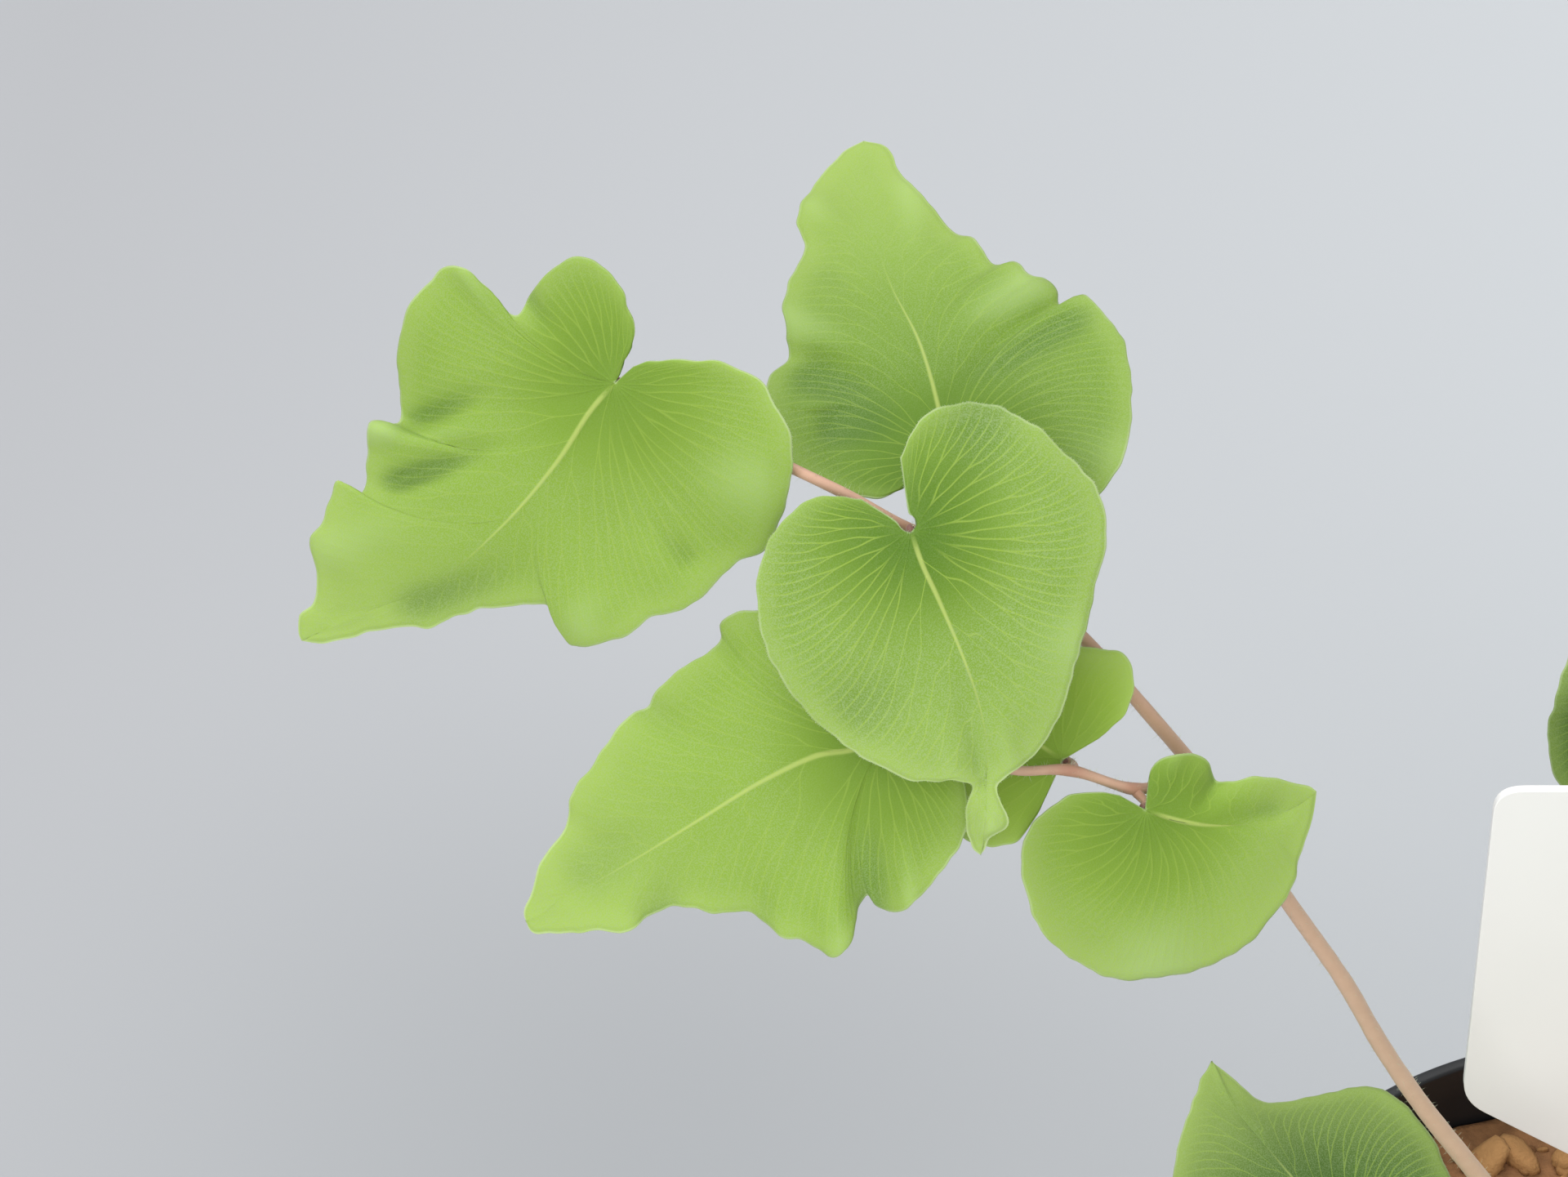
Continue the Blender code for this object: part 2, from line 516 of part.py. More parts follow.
def long_frond():
    """The long arching frond to the left: a side branch low down, and six leaflets with waved edges."""
    tip = Leaflet(
        "leaflet_left_tip",
        base=(-88.8, 15.1, 160.1),
        tip=(-114.3, 13.9, 135.4),
        face=(-0.31, -0.88, 0.36),
        midrib=[
            (3.1, 0.5, 0.3), (8.2, 2.0, 0.6), (15.4, 3.2, 0.6), (23.4, 3.3, 0.3), (30.0, 1.6, 0),
            (35.5, 0.2, 0.3),
        ],
        left=[
            (-5.5, 1.7, 0), (-8.2, 4.0, 0), (-9.6, 6.5, 0), (-9.4, 9.3, 0.2), (-8.4, 12.3, 0.2),
            (-6.6, 14.2, 0), (-2.0, 17.0, -0.6), (1.1, 16.9, -0.8), (3.8, 17.0, -0.5), (7.7, 17.0, 0.4),
            (12.9, 15.8, 1.0), (15.0, 15.2, 1.2), (17.1, 14.0, 1.2), (17.1, 12.8, 0.6),
            (16.4, 10.6, -1.4), (19.8, 8.1, -0.9), (23.7, 6.4, 0.4), (26.3, 5.9, 0.9),
            (27.2, 4.7, -0.2), (30.5, 3.2, 0), (34.2, 1.5, 0.2),
        ],
        right=[
            (-4.2, -2.3, 0), (-5.7, -5.4, 0.3), (-5.1, -8.4, 0.5), (-3.6, -9.6, 0.3),
            (-1.4, -9.7, -0.5), (1.6, -8.9, -2.0), (2.45, -9.05, -2.5), (2.95, -10.8, -1.9),
            (3.8, -13.6, -0.5), (5.0, -15.0, 0.5), (6.7, -15.2, 0.8), (9.4, -14.8, 0.6),
            (11.4, -13.9, 0.2), (13.3, -12.4, -0.5), (15.6, -9.3, -1.6), (16.8, -8.4, -1.4),
            (18.9, -9.4, 1.2), (22.4, -6.3, 0.2), (23.3, -6.1, -0.5), (24.5, -7.7, 1.0),
            (27.9, -6.1, 0.6), (31.1, -2.6, -0.3), (33.7, -0.8, 0.2),
        ],
        lift=TO_LIGHT,
    )
    back = Leaflet(
        "leaflet_left_back",
        base=(-63.0, 14.4, 153.1),
        tip=(-69.0, 47.4, 159.8),
        face=(-0.09, -0.21, 0.97),
        midrib=[(5.5, -0.3, 0.2), (12.2, -0.1, 0.2), (18.9, 1.0, 0), (27.0, 1.2, 0), (34.4, 0.2, 0)],
        left=[
            (-1.6, 3.6, 0), (-2.5, 5.9, -0.2), (-1.0, 9.3, -0.3), (2.3, 12.1, 0), (6.0, 12.9, 0.4),
            (9.4, 12.9, 0.3), (11.6, 12.2, -0.4), (13.2, 10.3, -1.0), (15.3, 10.0, -0.5),
            (19.0, 9.7, 0.2), (21.2, 8.7, 0), (24.2, 7.0, -0.7), (27.4, 7.1, 0.3), (29.4, 6.1, 0.5),
            (31.4, 4.3, 0.3), (33.7, 2.0, 0),
        ],
        right=[
            (-4.0, -1.4, 0), (-7.7, -4.9, 0.3), (-8.5, -8.0, 0.4), (-6.4, -10.7, 0.4),
            (-4.0, -12.9, 0.6), (-0.8, -14.3, 0.8), (2.5, -15.2, 1.0), (7.2, -15.8, 1.2),
            (10.1, -15.3, 1.4), (13.6, -13.9, 1.6), (13.2, -11.9, -1.4), (14.7, -11.8, -1.2),
            (17.0, -10.1, 0.2), (18.5, -9.0, 0.9), (18.7, -7.5, -0.6), (21.7, -6.4, 0.5),
            (22.8, -5.2, -0.3), (25.9, -3.9, 0.2), (29.8, -2.1, 0), (33.3, -1.4, 0),
        ],
        lift=TO_LIGHT,
    )
    front = Leaflet(
        "leaflet_left_front",
        base=(-66.1, 4.0, 154.6),
        tip=(-60.3, -6.8, 138.6),
        face=(0.0, -0.83, 0.56),
        midrib=[
            (2.9, 0.1, 0.3), (5.8, 0.5, 0.5), (11.2, 1.1, 0.5), (15.1, 1.2, 0.3), (18.8, 0.7, 0.1),
            (20.6, -0.1, 0.3), (23.0, -0.8, 0.3), (25.4, -1.8, 0),
        ],
        left=[
            (-5.4, 0.8, 0), (-7.9, 3.3, -0.2), (-8.3, 4.9, -0.3), (-7.6, 8.2, -0.4), (-4.9, 11.4, -0.5),
            (-1.3, 13.5, -0.6), (1.0, 14.5, -0.7), (4.0, 14.5, -0.8), (6.1, 13.8, -0.8),
            (9.0, 11.9, -0.9), (11.1, 10.8, -0.9), (14.1, 8.9, -0.8), (16.9, 7.2, -0.6),
            (18.4, 5.5, -0.5), (19.7, 3.6, -0.3), (20.2, 2.0, -0.2), (20.8, 0.8, 0.1), (23.1, 1.0, 0.5),
            (23.8, 0.6, 0.5), (24.4, -0.7, 0.2),
        ],
        right=[
            (-3.2, -2.9, 0), (-4.2, -4.9, -0.2), (-4.2, -7.3, -0.3), (-2.1, -10.7, -0.5),
            (1.8, -12.8, -0.7), (6.2, -13.2, -0.8), (10.9, -11.8, -0.8), (15.7, -8.7, -0.7),
            (17.2, -7.2, -0.5), (18.5, -5.6, -0.3), (19.2, -3.6, 0), (19.6, -2.2, 0.2),
            (20.5, -1.2, 0.3), (21.6, -1.8, -0.1), (22.9, -2.6, -0.5), (24.2, -2.5, -0.4),
        ],
        lift=TO_LIGHT,
    )
    branch_tip = Leaflet(
        "leaflet_left_branch_tip",
        base=(-67.8, -0.4, 137.0),
        tip=(-96.2, -5.3, 121.8),
        face=(-0.19, -0.78, 0.60),
        midrib=[
            (2.9, -0.5, 0.2), (5.4, -1.3, 0.3), (10.3, -1.5, 0.4), (15.8, -1.1, 0.3), (22.0, -0.6, 0.1),
            (28.0, -0.3, 0), (32.4, -0.2, 0),
        ],
        left=[
            (-2.6, 1.9, 0), (-3.6, 3.6, 0.1), (-3.8, 6.2, 0.3), (-2.3, 9.1, 0.6), (-0.4, 10.5, 0.8),
            (2.7, 11.8, 1.2), (5.2, 12.4, 0.9), (6.7, 11.3, -0.6), (6.9, 10.3, -1.2), (7.7, 10.5, -0.8),
            (9.5, 12.5, 0.6), (10.6, 13.2, 0.9), (11.7, 13.1, 0.8), (13.4, 10.8, -0.6),
            (14.7, 9.9, -0.3), (15.8, 7.3, -1.2), (18.4, 6.2, -1.0), (21.4, 4.0, -0.8),
            (23.2, 4.0, -0.2), (25.7, 4.2, 0.6), (27.5, 3.0, 0.3), (30.0, 2.0, 0), (31.8, 0.9, 0),
        ],
        right=[
            (-0.5, -2.6, 0), (-0.8, -5.0, 0), (0.4, -9.8, 0.2), (2.5, -12.7, 0.3), (4.5, -13.6, 0.3),
            (6.1, -14.2, 0.2), (7.5, -14.0, -0.2), (8.0, -13.0, -0.5), (9.3, -12.5, -0.1),
            (11.8, -12.2, 0.2), (14.1, -11.8, 0.1), (15.8, -10.8, -0.2), (17.5, -10.8, 0.1),
            (19.4, -10.1, 0.2), (22.8, -8.3, 0.1), (24.5, -7.4, 0), (25.8, -5.7, -0.3),
            (29.0, -3.8, 0.1), (30.5, -2.6, 0), (32.0, -1.1, 0),
        ],
        lift=TO_LIGHT,
    )
    branch_outer = Leaflet(
        "leaflet_left_branch_outer",
        base=(-47.3, -0.2, 129.4),
        tip=(-33.9, 3.1, 128.7),
        face=(0.24, -0.93, 0.28),
        midrib=[
            (2.1, -1.1, 0.2), (3.9, -2.2, 0.3), (6.0, -2.7, 0.2), (8.1, -2.6, 0), (10.2, -2.2, 0),
            (12.5, -1.2, 0), (14.2, -0.3, 0),
        ],
        left=[
            (0.2, 2.2, 0), (0.5, 3.4, 0), (1.4, 4.3, 0.1), (2.9, 4.6, 0.1), (4.1, 4.2, 0),
            (5.2, 3.4, -0.2), (6.0, 1.7, -0.6), (7.0, 1.5, -0.3), (9.3, 1.6, 0.2), (11.8, 0.9, 0.1),
            (13.6, 0.2, 0),
        ],
        right=[
            (-2.1, 1.5, 0), (-3.7, 2.1, 0), (-5.4, 2.2, 0), (-7.0, 1.8, 0.1), (-8.4, 0.9, 0.1),
            (-9.4, -0.2, 0.1), (-10.1, -2.1, 0.1), (-10.1, -4.3, 0), (-9.7, -6.5, 0), (-8.7, -9.1, 0),
            (-7.2, -11.1, 0), (-5.3, -12.9, -0.1), (-3.2, -14.3, -0.2), (-1.1, -14.9, -0.3),
            (3.0, -14.9, -0.3), (5.1, -14.7, -0.3), (7.2, -13.9, -0.3), (8.9, -12.9, -0.2),
            (10.5, -11.2, -0.1), (12.6, -7.9, 0.1), (12.8, -6.1, -0.1), (13.4, -4.3, 0.1),
            (14.1, -1.5, 0),
        ],
        lift=TO_LIGHT,
    )
    branch_inner = Leaflet(
        "leaflet_left_branch_inner",
        base=(-53.8, 2.3, 132.4),
        tip=(-63.8, 9.7, 136.5),
        face=(-0.23, -0.69, 0.68),
        midrib=[(3.0, 0.2, 0), (7.0, 0.3, 0), (13.1, 0, 0)],
        left=[
            (-0.7, 3.0, 0), (-1.1, 5.2, 0), (-1.1, 7.2, 0), (-0.5, 8.1, 0), (0.6, 9.0, 0),
            (2.0, 9.6, 0), (4.6, 9.3, 0), (8.0, 7.0, 0), (11.0, 3.6, 0),
        ],
        right=[
            (-1.2, -3.1, 0), (-1.7, -5.5, 0), (-1.3, -7.2, 0), (-0.6, -8.5, 0), (0.5, -9.4, 0),
            (1.7, -9.5, 0), (3.7, -8.3, 0), (7.0, -6.6, 0), (10.5, -3.4, 0),
        ],
        lift=TO_LIGHT,
    )
    node_low = (-41.8, 9.5, 123.8)
    node_high = (-65.4, 6.8, 151.7)
    side_outer = (-48.2, 1.6, 130.0)
    side_inner = (-53.4, 0.9, 132.6)
    stalk = Stalk(
        "frond_left_stalk",
        radius=0.95,
        route=[
            (-3.0, 8.9, 56.0), (-5.5, 9.0, 61.0), (-10.8, 9.6, 69.6), (-16.6, 10.3, 78.3),
            (-21.4, 10.5, 85.7), (-25.4, 10.4, 93.0), (-29.1, 9.9, 101.0), (-34.6, 9.4, 111.0), node_low,
            (-47.4, 9.8, 131.9), (-51.5, 10.4, 137.4), (-57.5, 9.6, 144.9), node_high,
            (-70.7, 8.3, 154.3), (-74.8, 10.0, 155.5), (-82.1, 14.6, 156.3), (-85.0, 16.0, 157.0),
        ],
    )
    stalk.carry_on([(-87.2, 16.9, 157.9), *tip.seat()])
    stalk.branch([node_high, *front.seat()])
    stalk.branch([node_high, (-64.4, 10.4, 151.4), *back.seat()])
    branch_route = [
        node_low, (-44.4, 5.8, 127.2), side_outer, side_inner, (-57.5, 0.3, 133.1),
        (-62.5, 0.8, 134.2), (-66.4, 0.9, 135.2), *branch_tip.seat(),
    ]
    stalk.branch(branch_route, SIDE_BRANCH_RADIUS, SIDE_BRANCH_STEP)
    stalk.branch([side_outer, *branch_outer.seat()])
    stalk.branch([side_inner, (-52.9, 2.4, 131.8), *branch_inner.seat()])
    return stalk, [tip, back, front, branch_tip, branch_outer, branch_inner]


def heart_side(length, side, random_source):
    """Half of a heart-shaped outline, with a slightly uneven edge that waves out of its plane."""
    phase = random_source.uniform(0, 2 * math.pi)
    half = []
    for i, (along, across) in enumerate(HEART):
        jitter = random_source.uniform(-HEART_EDGE_JITTER, HEART_EDGE_JITTER)
        wave = math.sin(phase + HEART_WAVE_STEP * i) * min(1.0, across / HEART_WAVE_START)
        point = (along + jitter / 2, side * across * (1 + jitter), HEART_EDGE_WAVE * wave)
        half.append(tuple(length * value for value in point))
    return half


def leaflet_on(stalk, name, share, turn, length, droop, petiolule=PETIOLULE_LENGTH, heading=None):
    """A heart-shaped leaflet at a share of the stalk's length, in the frond's own plane. Its petiolule
    turns to the left of the stalk's direction, in degrees, and its blade goes the same way unless it
    has a heading of its own. At a share of 1 it ends the stalk."""
    curve, lengths = smooth_curve(stalk.route)
    shares = (share - DIRECTION_SHARE, share, min(1.0, share + DIRECTION_SHARE))
    before, where, after = at_share(curve, lengths, shares)
    forward = unit(after - before)
    left = unit(np.cross(UP, forward))
    face = np.cross(forward, left)

    def turned_by(degrees):
        return forward * math.cos(math.radians(degrees)) + left * math.sin(math.radians(degrees))

    lift = END_LEAFLET_LIFT if share == 1 else LEAFLET_LIFT
    base = where + turned_by(turn) * petiolule + face * lift
    level = turned_by(turn if heading is None else heading)
    along = level * math.cos(math.radians(droop)) - face * math.sin(math.radians(droop))
    random_source = random.Random(name)
    leaflet = Leaflet(
        name,
        base,
        base + along * length,
        face,
        midrib=[(length * reach, 0, length * rise) for reach, rise in HEART_MIDRIB],
        left=heart_side(length, 1, random_source),
        right=heart_side(length, -1, random_source),
    )
    if share == 1:
        stalk.carry_on(leaflet.seat())
    else:
        stalk.branch([where, *leaflet.seat()])
    return leaflet


def low_frond():
    """The short frond to the left, whose end leaflet hangs over the pot's rim."""
    end = Leaflet(
        "leaflet_low_tip",
        base=(-26.1, 5.2, 70.5),
        tip=(-38.6, 21.8, 79.4),
        face=(0.26, -0.30, 0.92),
        midrib=[(6.0, 0, 0.6), (12.0, 0.5, 0.6), (18.0, 0.6, 0.1), (22.6, 0, 0.7)],
        left=[
            (-2.2, 1.6, 0), (-2.4, 4.8, 0), (1.5, 9.3, 0.3), (5.8, 11.3, 0.4), (11.6, 12.1, 0.2),
            (15.4, 9.6, -0.3), (18.8, 5.7, -0.2), (21.4, 2.1, 0.3),
        ],
        right=[
            (-3.4, -1.4, 0), (-5.0, -4.6, 0), (-4.0, -8.4, 0.2), (-0.8, -11.6, 0.3), (3.7, -13.3, 0.3),
            (9.3, -14.1, 0), (13.5, -13.0, -0.4), (15.6, -8.0, -0.9), (17.5, -2.6, -0.6),
            (20.3, -1.0, 0.2),
        ],
    )
    stalk = Stalk(
        "frond_low_stalk",
        radius=0.6,
        route=[
            (-8.0, 6.6, 56.5), (-8.6, 6.2, 61.0), (-11.8, 5.4, 65.2), (-16.5, 4.8, 66.8),
            (-22.2, 5.2, 66.7),
        ],
    )
    stalk.carry_on(end.seat())
    side_a = leaflet_on(stalk, "leaflet_low_side_a", 0.44, 98, 13, -8)
    side_b = leaflet_on(stalk, "leaflet_low_side_b", 0.90, 80, 14, 6)
    return stalk, [end, side_a, side_b]


def right_frond():
    """The tall frond that arches to the right."""
    stalk = Stalk(
        "frond_right_stalk",
        radius=0.9,
        route=[
            (0.6, 7.6, 56.0), (1.5, 7.5, 61.0), (4.6, 7.0, 72.0), (11.0, 5.0, 88.0), (20.5, 2.0, 104.0),
            (33.0, -1.0, 117.5), (45.5, -4.0, 126.0), (56.0, -6.0, 130.0),
        ],
    )
    leaflets = [
        leaflet_on(stalk, "leaflet_right_side_a", 0.50, -78, 24, 6),
        leaflet_on(stalk, "leaflet_right_side_b", 0.58, 74, 22, 4),
        leaflet_on(stalk, "leaflet_right_side_c", 0.75, -76, 23, 10, petiolule=7.0),
        leaflet_on(stalk, "leaflet_right_side_d", 0.81, 72, 22, 8, petiolule=7.4),
        leaflet_on(stalk, "leaflet_right_tip", 1.0, 0, 27, 22),
    ]
    return stalk, leaflets


def back_frond():
    """The frond behind the label."""
    stalk = Stalk(
        "frond_back_stalk",
        radius=0.75,
        route=[
            (3.6, 24.6, 56.0), (4.0, 25.0, 61.0), (5.2, 27.0, 72.0), (7.0, 31.0, 86.0),
            (8.5, 37.5, 99.0), (10.0, 47.0, 109.5), (11.5, 57.0, 115.0),
        ],
    )
    leaflets = [
        leaflet_on(stalk, "leaflet_back_side_a", 0.65, 85, 19, -4, petiolule=8.5, heading=8),
        leaflet_on(stalk, "leaflet_back_side_b", 0.52, -76, 19, 4),
        leaflet_on(stalk, "leaflet_back_side_c", 0.80, -70, 18, 6),
        leaflet_on(stalk, "leaflet_back_tip", 1.0, 0, 23, 20, petiolule=7.0),
    ]
    return stalk, leaflets


def front_frond():
    """The young short frond in front."""
    stalk = Stalk(
        "frond_front_stalk",
        radius=0.65,
        route=[
            (-0.8, 3.4, 56.0), (-1.0, 2.5, 61.0), (0.5, -3.5, 71.0), (4.0, -13.0, 79.5),
            (9.0, -24.0, 85.0), (13.0, -32.0, 86.5),
        ],
    )
    leaflets = [
        leaflet_on(stalk, "leaflet_front_side_a", 0.55, -80, 17, 4),
        leaflet_on(stalk, "leaflet_front_side_b", 0.62, 78, 17, 4),
        leaflet_on(stalk, "leaflet_front_tip", 1.0, 0, 21, 20),
    ]
    return stalk, leaflets


def shade_round(names):
    for name in names:
        mesh = bpy.data.objects[name].data
        mesh.shade_smooth()
        mesh.set_sharp_from_angle(angle=SHARP_ANGLE)


def build():
    for old in list(bpy.data.objects):
        bpy.data.objects.remove(old)
    plastic = material("black_pot_plastic", (0.012, 0.013, 0.015), 0.45)
    bark = material("bark_soil", (0.105, 0.040, 0.012), 0.95)
    label_plastic = material("white_label_plastic", (0.86, 0.85, 0.80), 0.4)
    blade = material("leaflet_green", (0.27, 0.49, 0.09), 0.6)
    stem = material("stalk_tan", (0.50, 0.28, 0.17), 0.55)
    fronds = [long_frond(), low_frond(), right_frond(), back_frond(), front_frond()]
    make_pot(plastic)
    make_soil(bark, [stalk for stalk, _ in fronds])
    make_label(label_plastic)
    for stalk, leaflets in fronds:
        make_stalk(stalk, stem)
        for leaflet in leaflets:
            add_object(leaflet.name, *leaflet.solid(), blade)
    shade_round(["pot", *(stalk.name for stalk, _ in fronds)])


build()
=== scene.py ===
"""The finished look of a small potted cliff brake fern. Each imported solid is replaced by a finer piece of
the same form: thin veined blades with downy edges, hairy stalks, bark soil, a moulded pot and a label.

Lengths are in millimetres in the solids' own frame, and are turned to metres where a mesh is made.
"""

import json
import math
import random

import bpy
import numpy as np
from mathutils import Euler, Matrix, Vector, noise

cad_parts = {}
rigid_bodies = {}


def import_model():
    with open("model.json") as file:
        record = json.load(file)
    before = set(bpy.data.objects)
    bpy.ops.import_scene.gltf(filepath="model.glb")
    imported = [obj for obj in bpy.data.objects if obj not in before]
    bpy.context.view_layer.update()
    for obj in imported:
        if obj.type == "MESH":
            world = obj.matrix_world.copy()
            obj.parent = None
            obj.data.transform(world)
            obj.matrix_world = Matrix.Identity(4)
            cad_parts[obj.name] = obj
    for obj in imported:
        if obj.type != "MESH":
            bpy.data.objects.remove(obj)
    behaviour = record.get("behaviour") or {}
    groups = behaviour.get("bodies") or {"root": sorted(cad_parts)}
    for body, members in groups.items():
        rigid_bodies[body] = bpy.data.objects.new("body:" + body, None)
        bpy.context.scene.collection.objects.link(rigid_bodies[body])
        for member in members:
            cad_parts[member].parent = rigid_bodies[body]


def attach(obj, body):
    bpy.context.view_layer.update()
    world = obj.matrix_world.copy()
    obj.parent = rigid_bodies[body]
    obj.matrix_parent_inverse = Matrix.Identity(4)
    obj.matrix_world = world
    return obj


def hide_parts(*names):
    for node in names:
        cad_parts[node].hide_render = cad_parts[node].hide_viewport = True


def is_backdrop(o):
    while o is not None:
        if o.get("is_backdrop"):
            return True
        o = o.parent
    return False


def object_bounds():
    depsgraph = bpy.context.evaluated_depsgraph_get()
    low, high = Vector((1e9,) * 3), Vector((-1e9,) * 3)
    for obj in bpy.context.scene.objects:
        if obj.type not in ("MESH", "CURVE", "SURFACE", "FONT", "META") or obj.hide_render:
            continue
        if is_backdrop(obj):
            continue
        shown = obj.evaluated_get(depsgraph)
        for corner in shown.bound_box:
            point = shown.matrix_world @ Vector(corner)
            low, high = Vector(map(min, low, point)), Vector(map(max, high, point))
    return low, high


MM = 0.001
TINY = 1e-9
UP = np.array((0.0, 0.0, 1.0))
# The long frond's blades are cupped and ruffled towards the light, 40 degrees above the horizon.
LIGHT_ELEVATION = math.radians(40)
TO_LIGHT = np.array((0.0, -math.cos(LIGHT_ELEVATION), math.sin(LIGHT_ELEVATION)))

# Short straight steps that a smooth curve has from each of its points to the next.
CURVE_STEPS = 16
# How each seed moves the noise, and how many seeds the blades' names are shared out over.
SEED_SHIFT = (7.3, 3.1, 5.7)
BLADE_SEEDS = 97
# What sets the random patterns of a blade's two sides apart.
SIDE_SHIFT = 9
SIDE_PHASE = 3

# How the veins run from a blade's midrib to its margin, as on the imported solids: each leaves the midrib
# this much further back for each millimetre that its end is to the side, and bows towards the tip.
VEIN_SLANT = 1.0
VEIN_BOW = 0.12
# The shares of the margin's length over which the bow grows to full size, and the starts are softened.
FULL_BOW_SHARE = 0.35
START_SOFTNESS = 0.02
# The margin's rise comes in with this power of the way out to it.
RISE_POWER = 1.7

# A blade's thickness, the share of it that is left at the edge, and the width over which it thins.
BLADE_THICKNESS = 0.34
THIN_EDGE_SHARE = 0.3
THIN_EDGE_WIDTH = 0.5
# The depth and length of the margin's fine notching, and the share of it at the tip where that fades.
EDGE_NOTCHING = 0.2
EDGE_NOTCH_LENGTH = 1.4
SMOOTH_TIP_SHARE = 0.05
# How far a fold's rise goes on behind its outer end, as a share of its length.
FOLD_END = 0.35
# The height and length of the face's soft waves, and the share of the way out at which they are full.
BLADE_WAVE = 0.22
BLADE_WAVE_LENGTH = 5.0
BLADE_WAVE_FULL = 0.6
# The round bottom of the notch at a blade's base, where the petiolule comes up: its radius, how far back
# from the base its middle is, and how deep under the blade's face the petiolule ends.
NOTCH = (0.12, 0.0, 0.48)
# A mesh's rows lie closer at the midrib and at the margin by this share, and its midrib has fewer steps.
ROW_CROWDING = 0.6
COLUMNS_PER_RIB_STEP = 3
# Points of a blade that agree to this many decimals are one point.
JOIN_DECIMALS = 4

# Free veins about 0.9 mm apart at the margin: each main vein forks twice on its way there.
VEIN_SPACING = 0.92
VEINS_FROM_EACH = 4
# The share of the way out at which each fork starts, and how far it spreads, in spaces between main veins.
FORKS = ((0.16, 0.25), (0.5, 0.125))
FORK_RUN = 0.22
# How unevenly the forks start and over how many main veins that changes, and how the veins waver.
FORK_JITTER = 0.16
FORK_JITTER_LENGTH = 0.9
VEIN_WAVER = 0.22
VEIN_WAVER_RATE = 5
VEIN_HALF_WIDTH = 0.055
# How high the veins and the midrib stand, and the width at the edge over which the veins rise.
VEIN_RELIEF = 0.03
VEIN_RELIEF_MARGIN = 1.5
MIDRIB_RELIEF = 0.04
# A midrib's half width at the base, and the share of its length at which the last of it fades. On the
# way there it keeps its width for a fifth, and then narrows evenly to a share at which it stays.
MIDRIB = (0.15, 0.75)
MIDRIB_NARROWS_FROM = 1.2
MIDRIB_LEAST_WIDTH = 0.4
# The share of the way there at which it starts to fade.
MIDRIB_FADE_START = 0.4
# What the midrib's own points have for a place among the veins, with no vein near it.
NO_VEIN = (0.0, 0.0, 2.0)

# White hairs on a blade's edge, on its face and on the stalks: their sizes, and how much they lean.
FRINGE_LENGTHS = (0.06, 0.18)
FRINGE_RADII = (0.008, 0.014)
FRINGE_SPREAD = 0.45
FRINGE_LIFT = 0.15
DOWN_LENGTHS = (0.05, 0.12)
DOWN_RADII = (0.006, 0.010)
DOWN_SPREAD = 0.7
STALK_HAIR_LENGTHS = (0.2, 0.7)
STALK_HAIR_RADII = (0.010, 0.018)
STALK_HAIR_LEAN = (0.2, 0.35)
STALK_HAIRS_ABOVE_SOIL = 1.0
HAIR_ROOT = 0.05
# A hair whose direction has more than this share of up or down in it counts as upright.
UPRIGHT = 0.9

# A heart-shaped leaflet of length 1: half its outline, its midrib as (along, rise), and how its edge
# waves: how high, how fast from point to point, how far aside it is full, and how uneven it is.
HEART = (
    (-0.15, 0.06), (-0.24, 0.17), (-0.25, 0.32), (-0.14, 0.44), (0.05, 0.48), (0.26, 0.44),
    (0.46, 0.36), (0.64, 0.25), (0.80, 0.14), (0.93, 0.05),
)
HEART_MIDRIB = ((0.3, 0.02), (0.65, 0.0), (1.0, -0.03))
HEART_EDGE_WAVE = 0.045
HEART_WAVE_STEP = 1.9
HEART_WAVE_FULL = 0.25
HEART_EDGE_JITTER = 0.018
# How far a leaflet's base is from its stalk, and how far above it.
PETIOLULE_LENGTH = 6.2
LEAFLET_LIFT = 2.2
END_LEAFLET_LIFT = 1.0
# The share of a stalk's length, each way, over which its direction is taken.
DIRECTION_SHARE = 0.02

STALK_TIP_RADIUS = 0.38
SIDE_BRANCH_RADIUS = 0.45
PETIOLULE_RADIUS = 0.34
# A petiolule's last bend: how far it is in from the blade's base, and how far under it.
SEAT_INSET = 0.4
SEAT_DEPTH = 1.155
# How far back inside the stalk a branch starts that carries it on.
SPLICE = 1.3
# The sides of a stalk's rings, how far apart they are, and the fewest that a stalk has.
STALK_SIDES = 14
STALK_STEP = 0.5
LEAST_STALK_RINGS = 4
# The height from which a stalk has the colour of its upper part.
STALK_TINT_TOP = 150.0
# A tube's seam lies across this direction.
TUBE_SEAM = (0.3, 1.0, 0.2)
# Degrees round a tube's end at which its rings close it to a dome.
DOME_ANGLES = (20, 45, 70, 88)
# How far a node's swelling reaches and how much it is, how far the dark of a joint reaches, and how
# uneven a stalk is.
NODE_REACH = 1.3
NODE_SWELL = 0.25
JOINT_REACH = 0.45
STALK_UNEVENNESS = 0.05
STALK_LUMP = 2.0

# The pot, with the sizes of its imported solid, and how much its corners are rounded.
POT_HEIGHT = 68.0
POT_RIM_RADIUS = 37.5
POT_BASE_RADIUS = 26.5
POT_WALL = 1.2
POT_FLOOR = 1.6
POT_COLLAR_HEIGHT = 11.0
POT_COLLAR_STEP = 1.8
POT_COLLAR_SLOPE = 0.9
POT_COLLAR_FLARE = 0.6
POT_LIP = 0.8
POT_FOOT_ROUND = 1.3
POT_BEND_ROUND = 0.5
POT_LIP_ROUND = 0.4
POT_LIP_FOOT_ROUND = 0.3
POT_FLOOR_ROUND = 0.8
POT_SIDES = 160
POT_SHARP_ANGLE = math.radians(40)
CORNER_STEPS = 4
DRAIN_HOLES = 6
DRAIN_HOLE_RADIUS = 2.8
DRAIN_HOLE_SIDES = 40
DRAIN_CIRCLE_RADIUS = 18.0
DRILL_LENGTH = 4 * POT_FLOOR

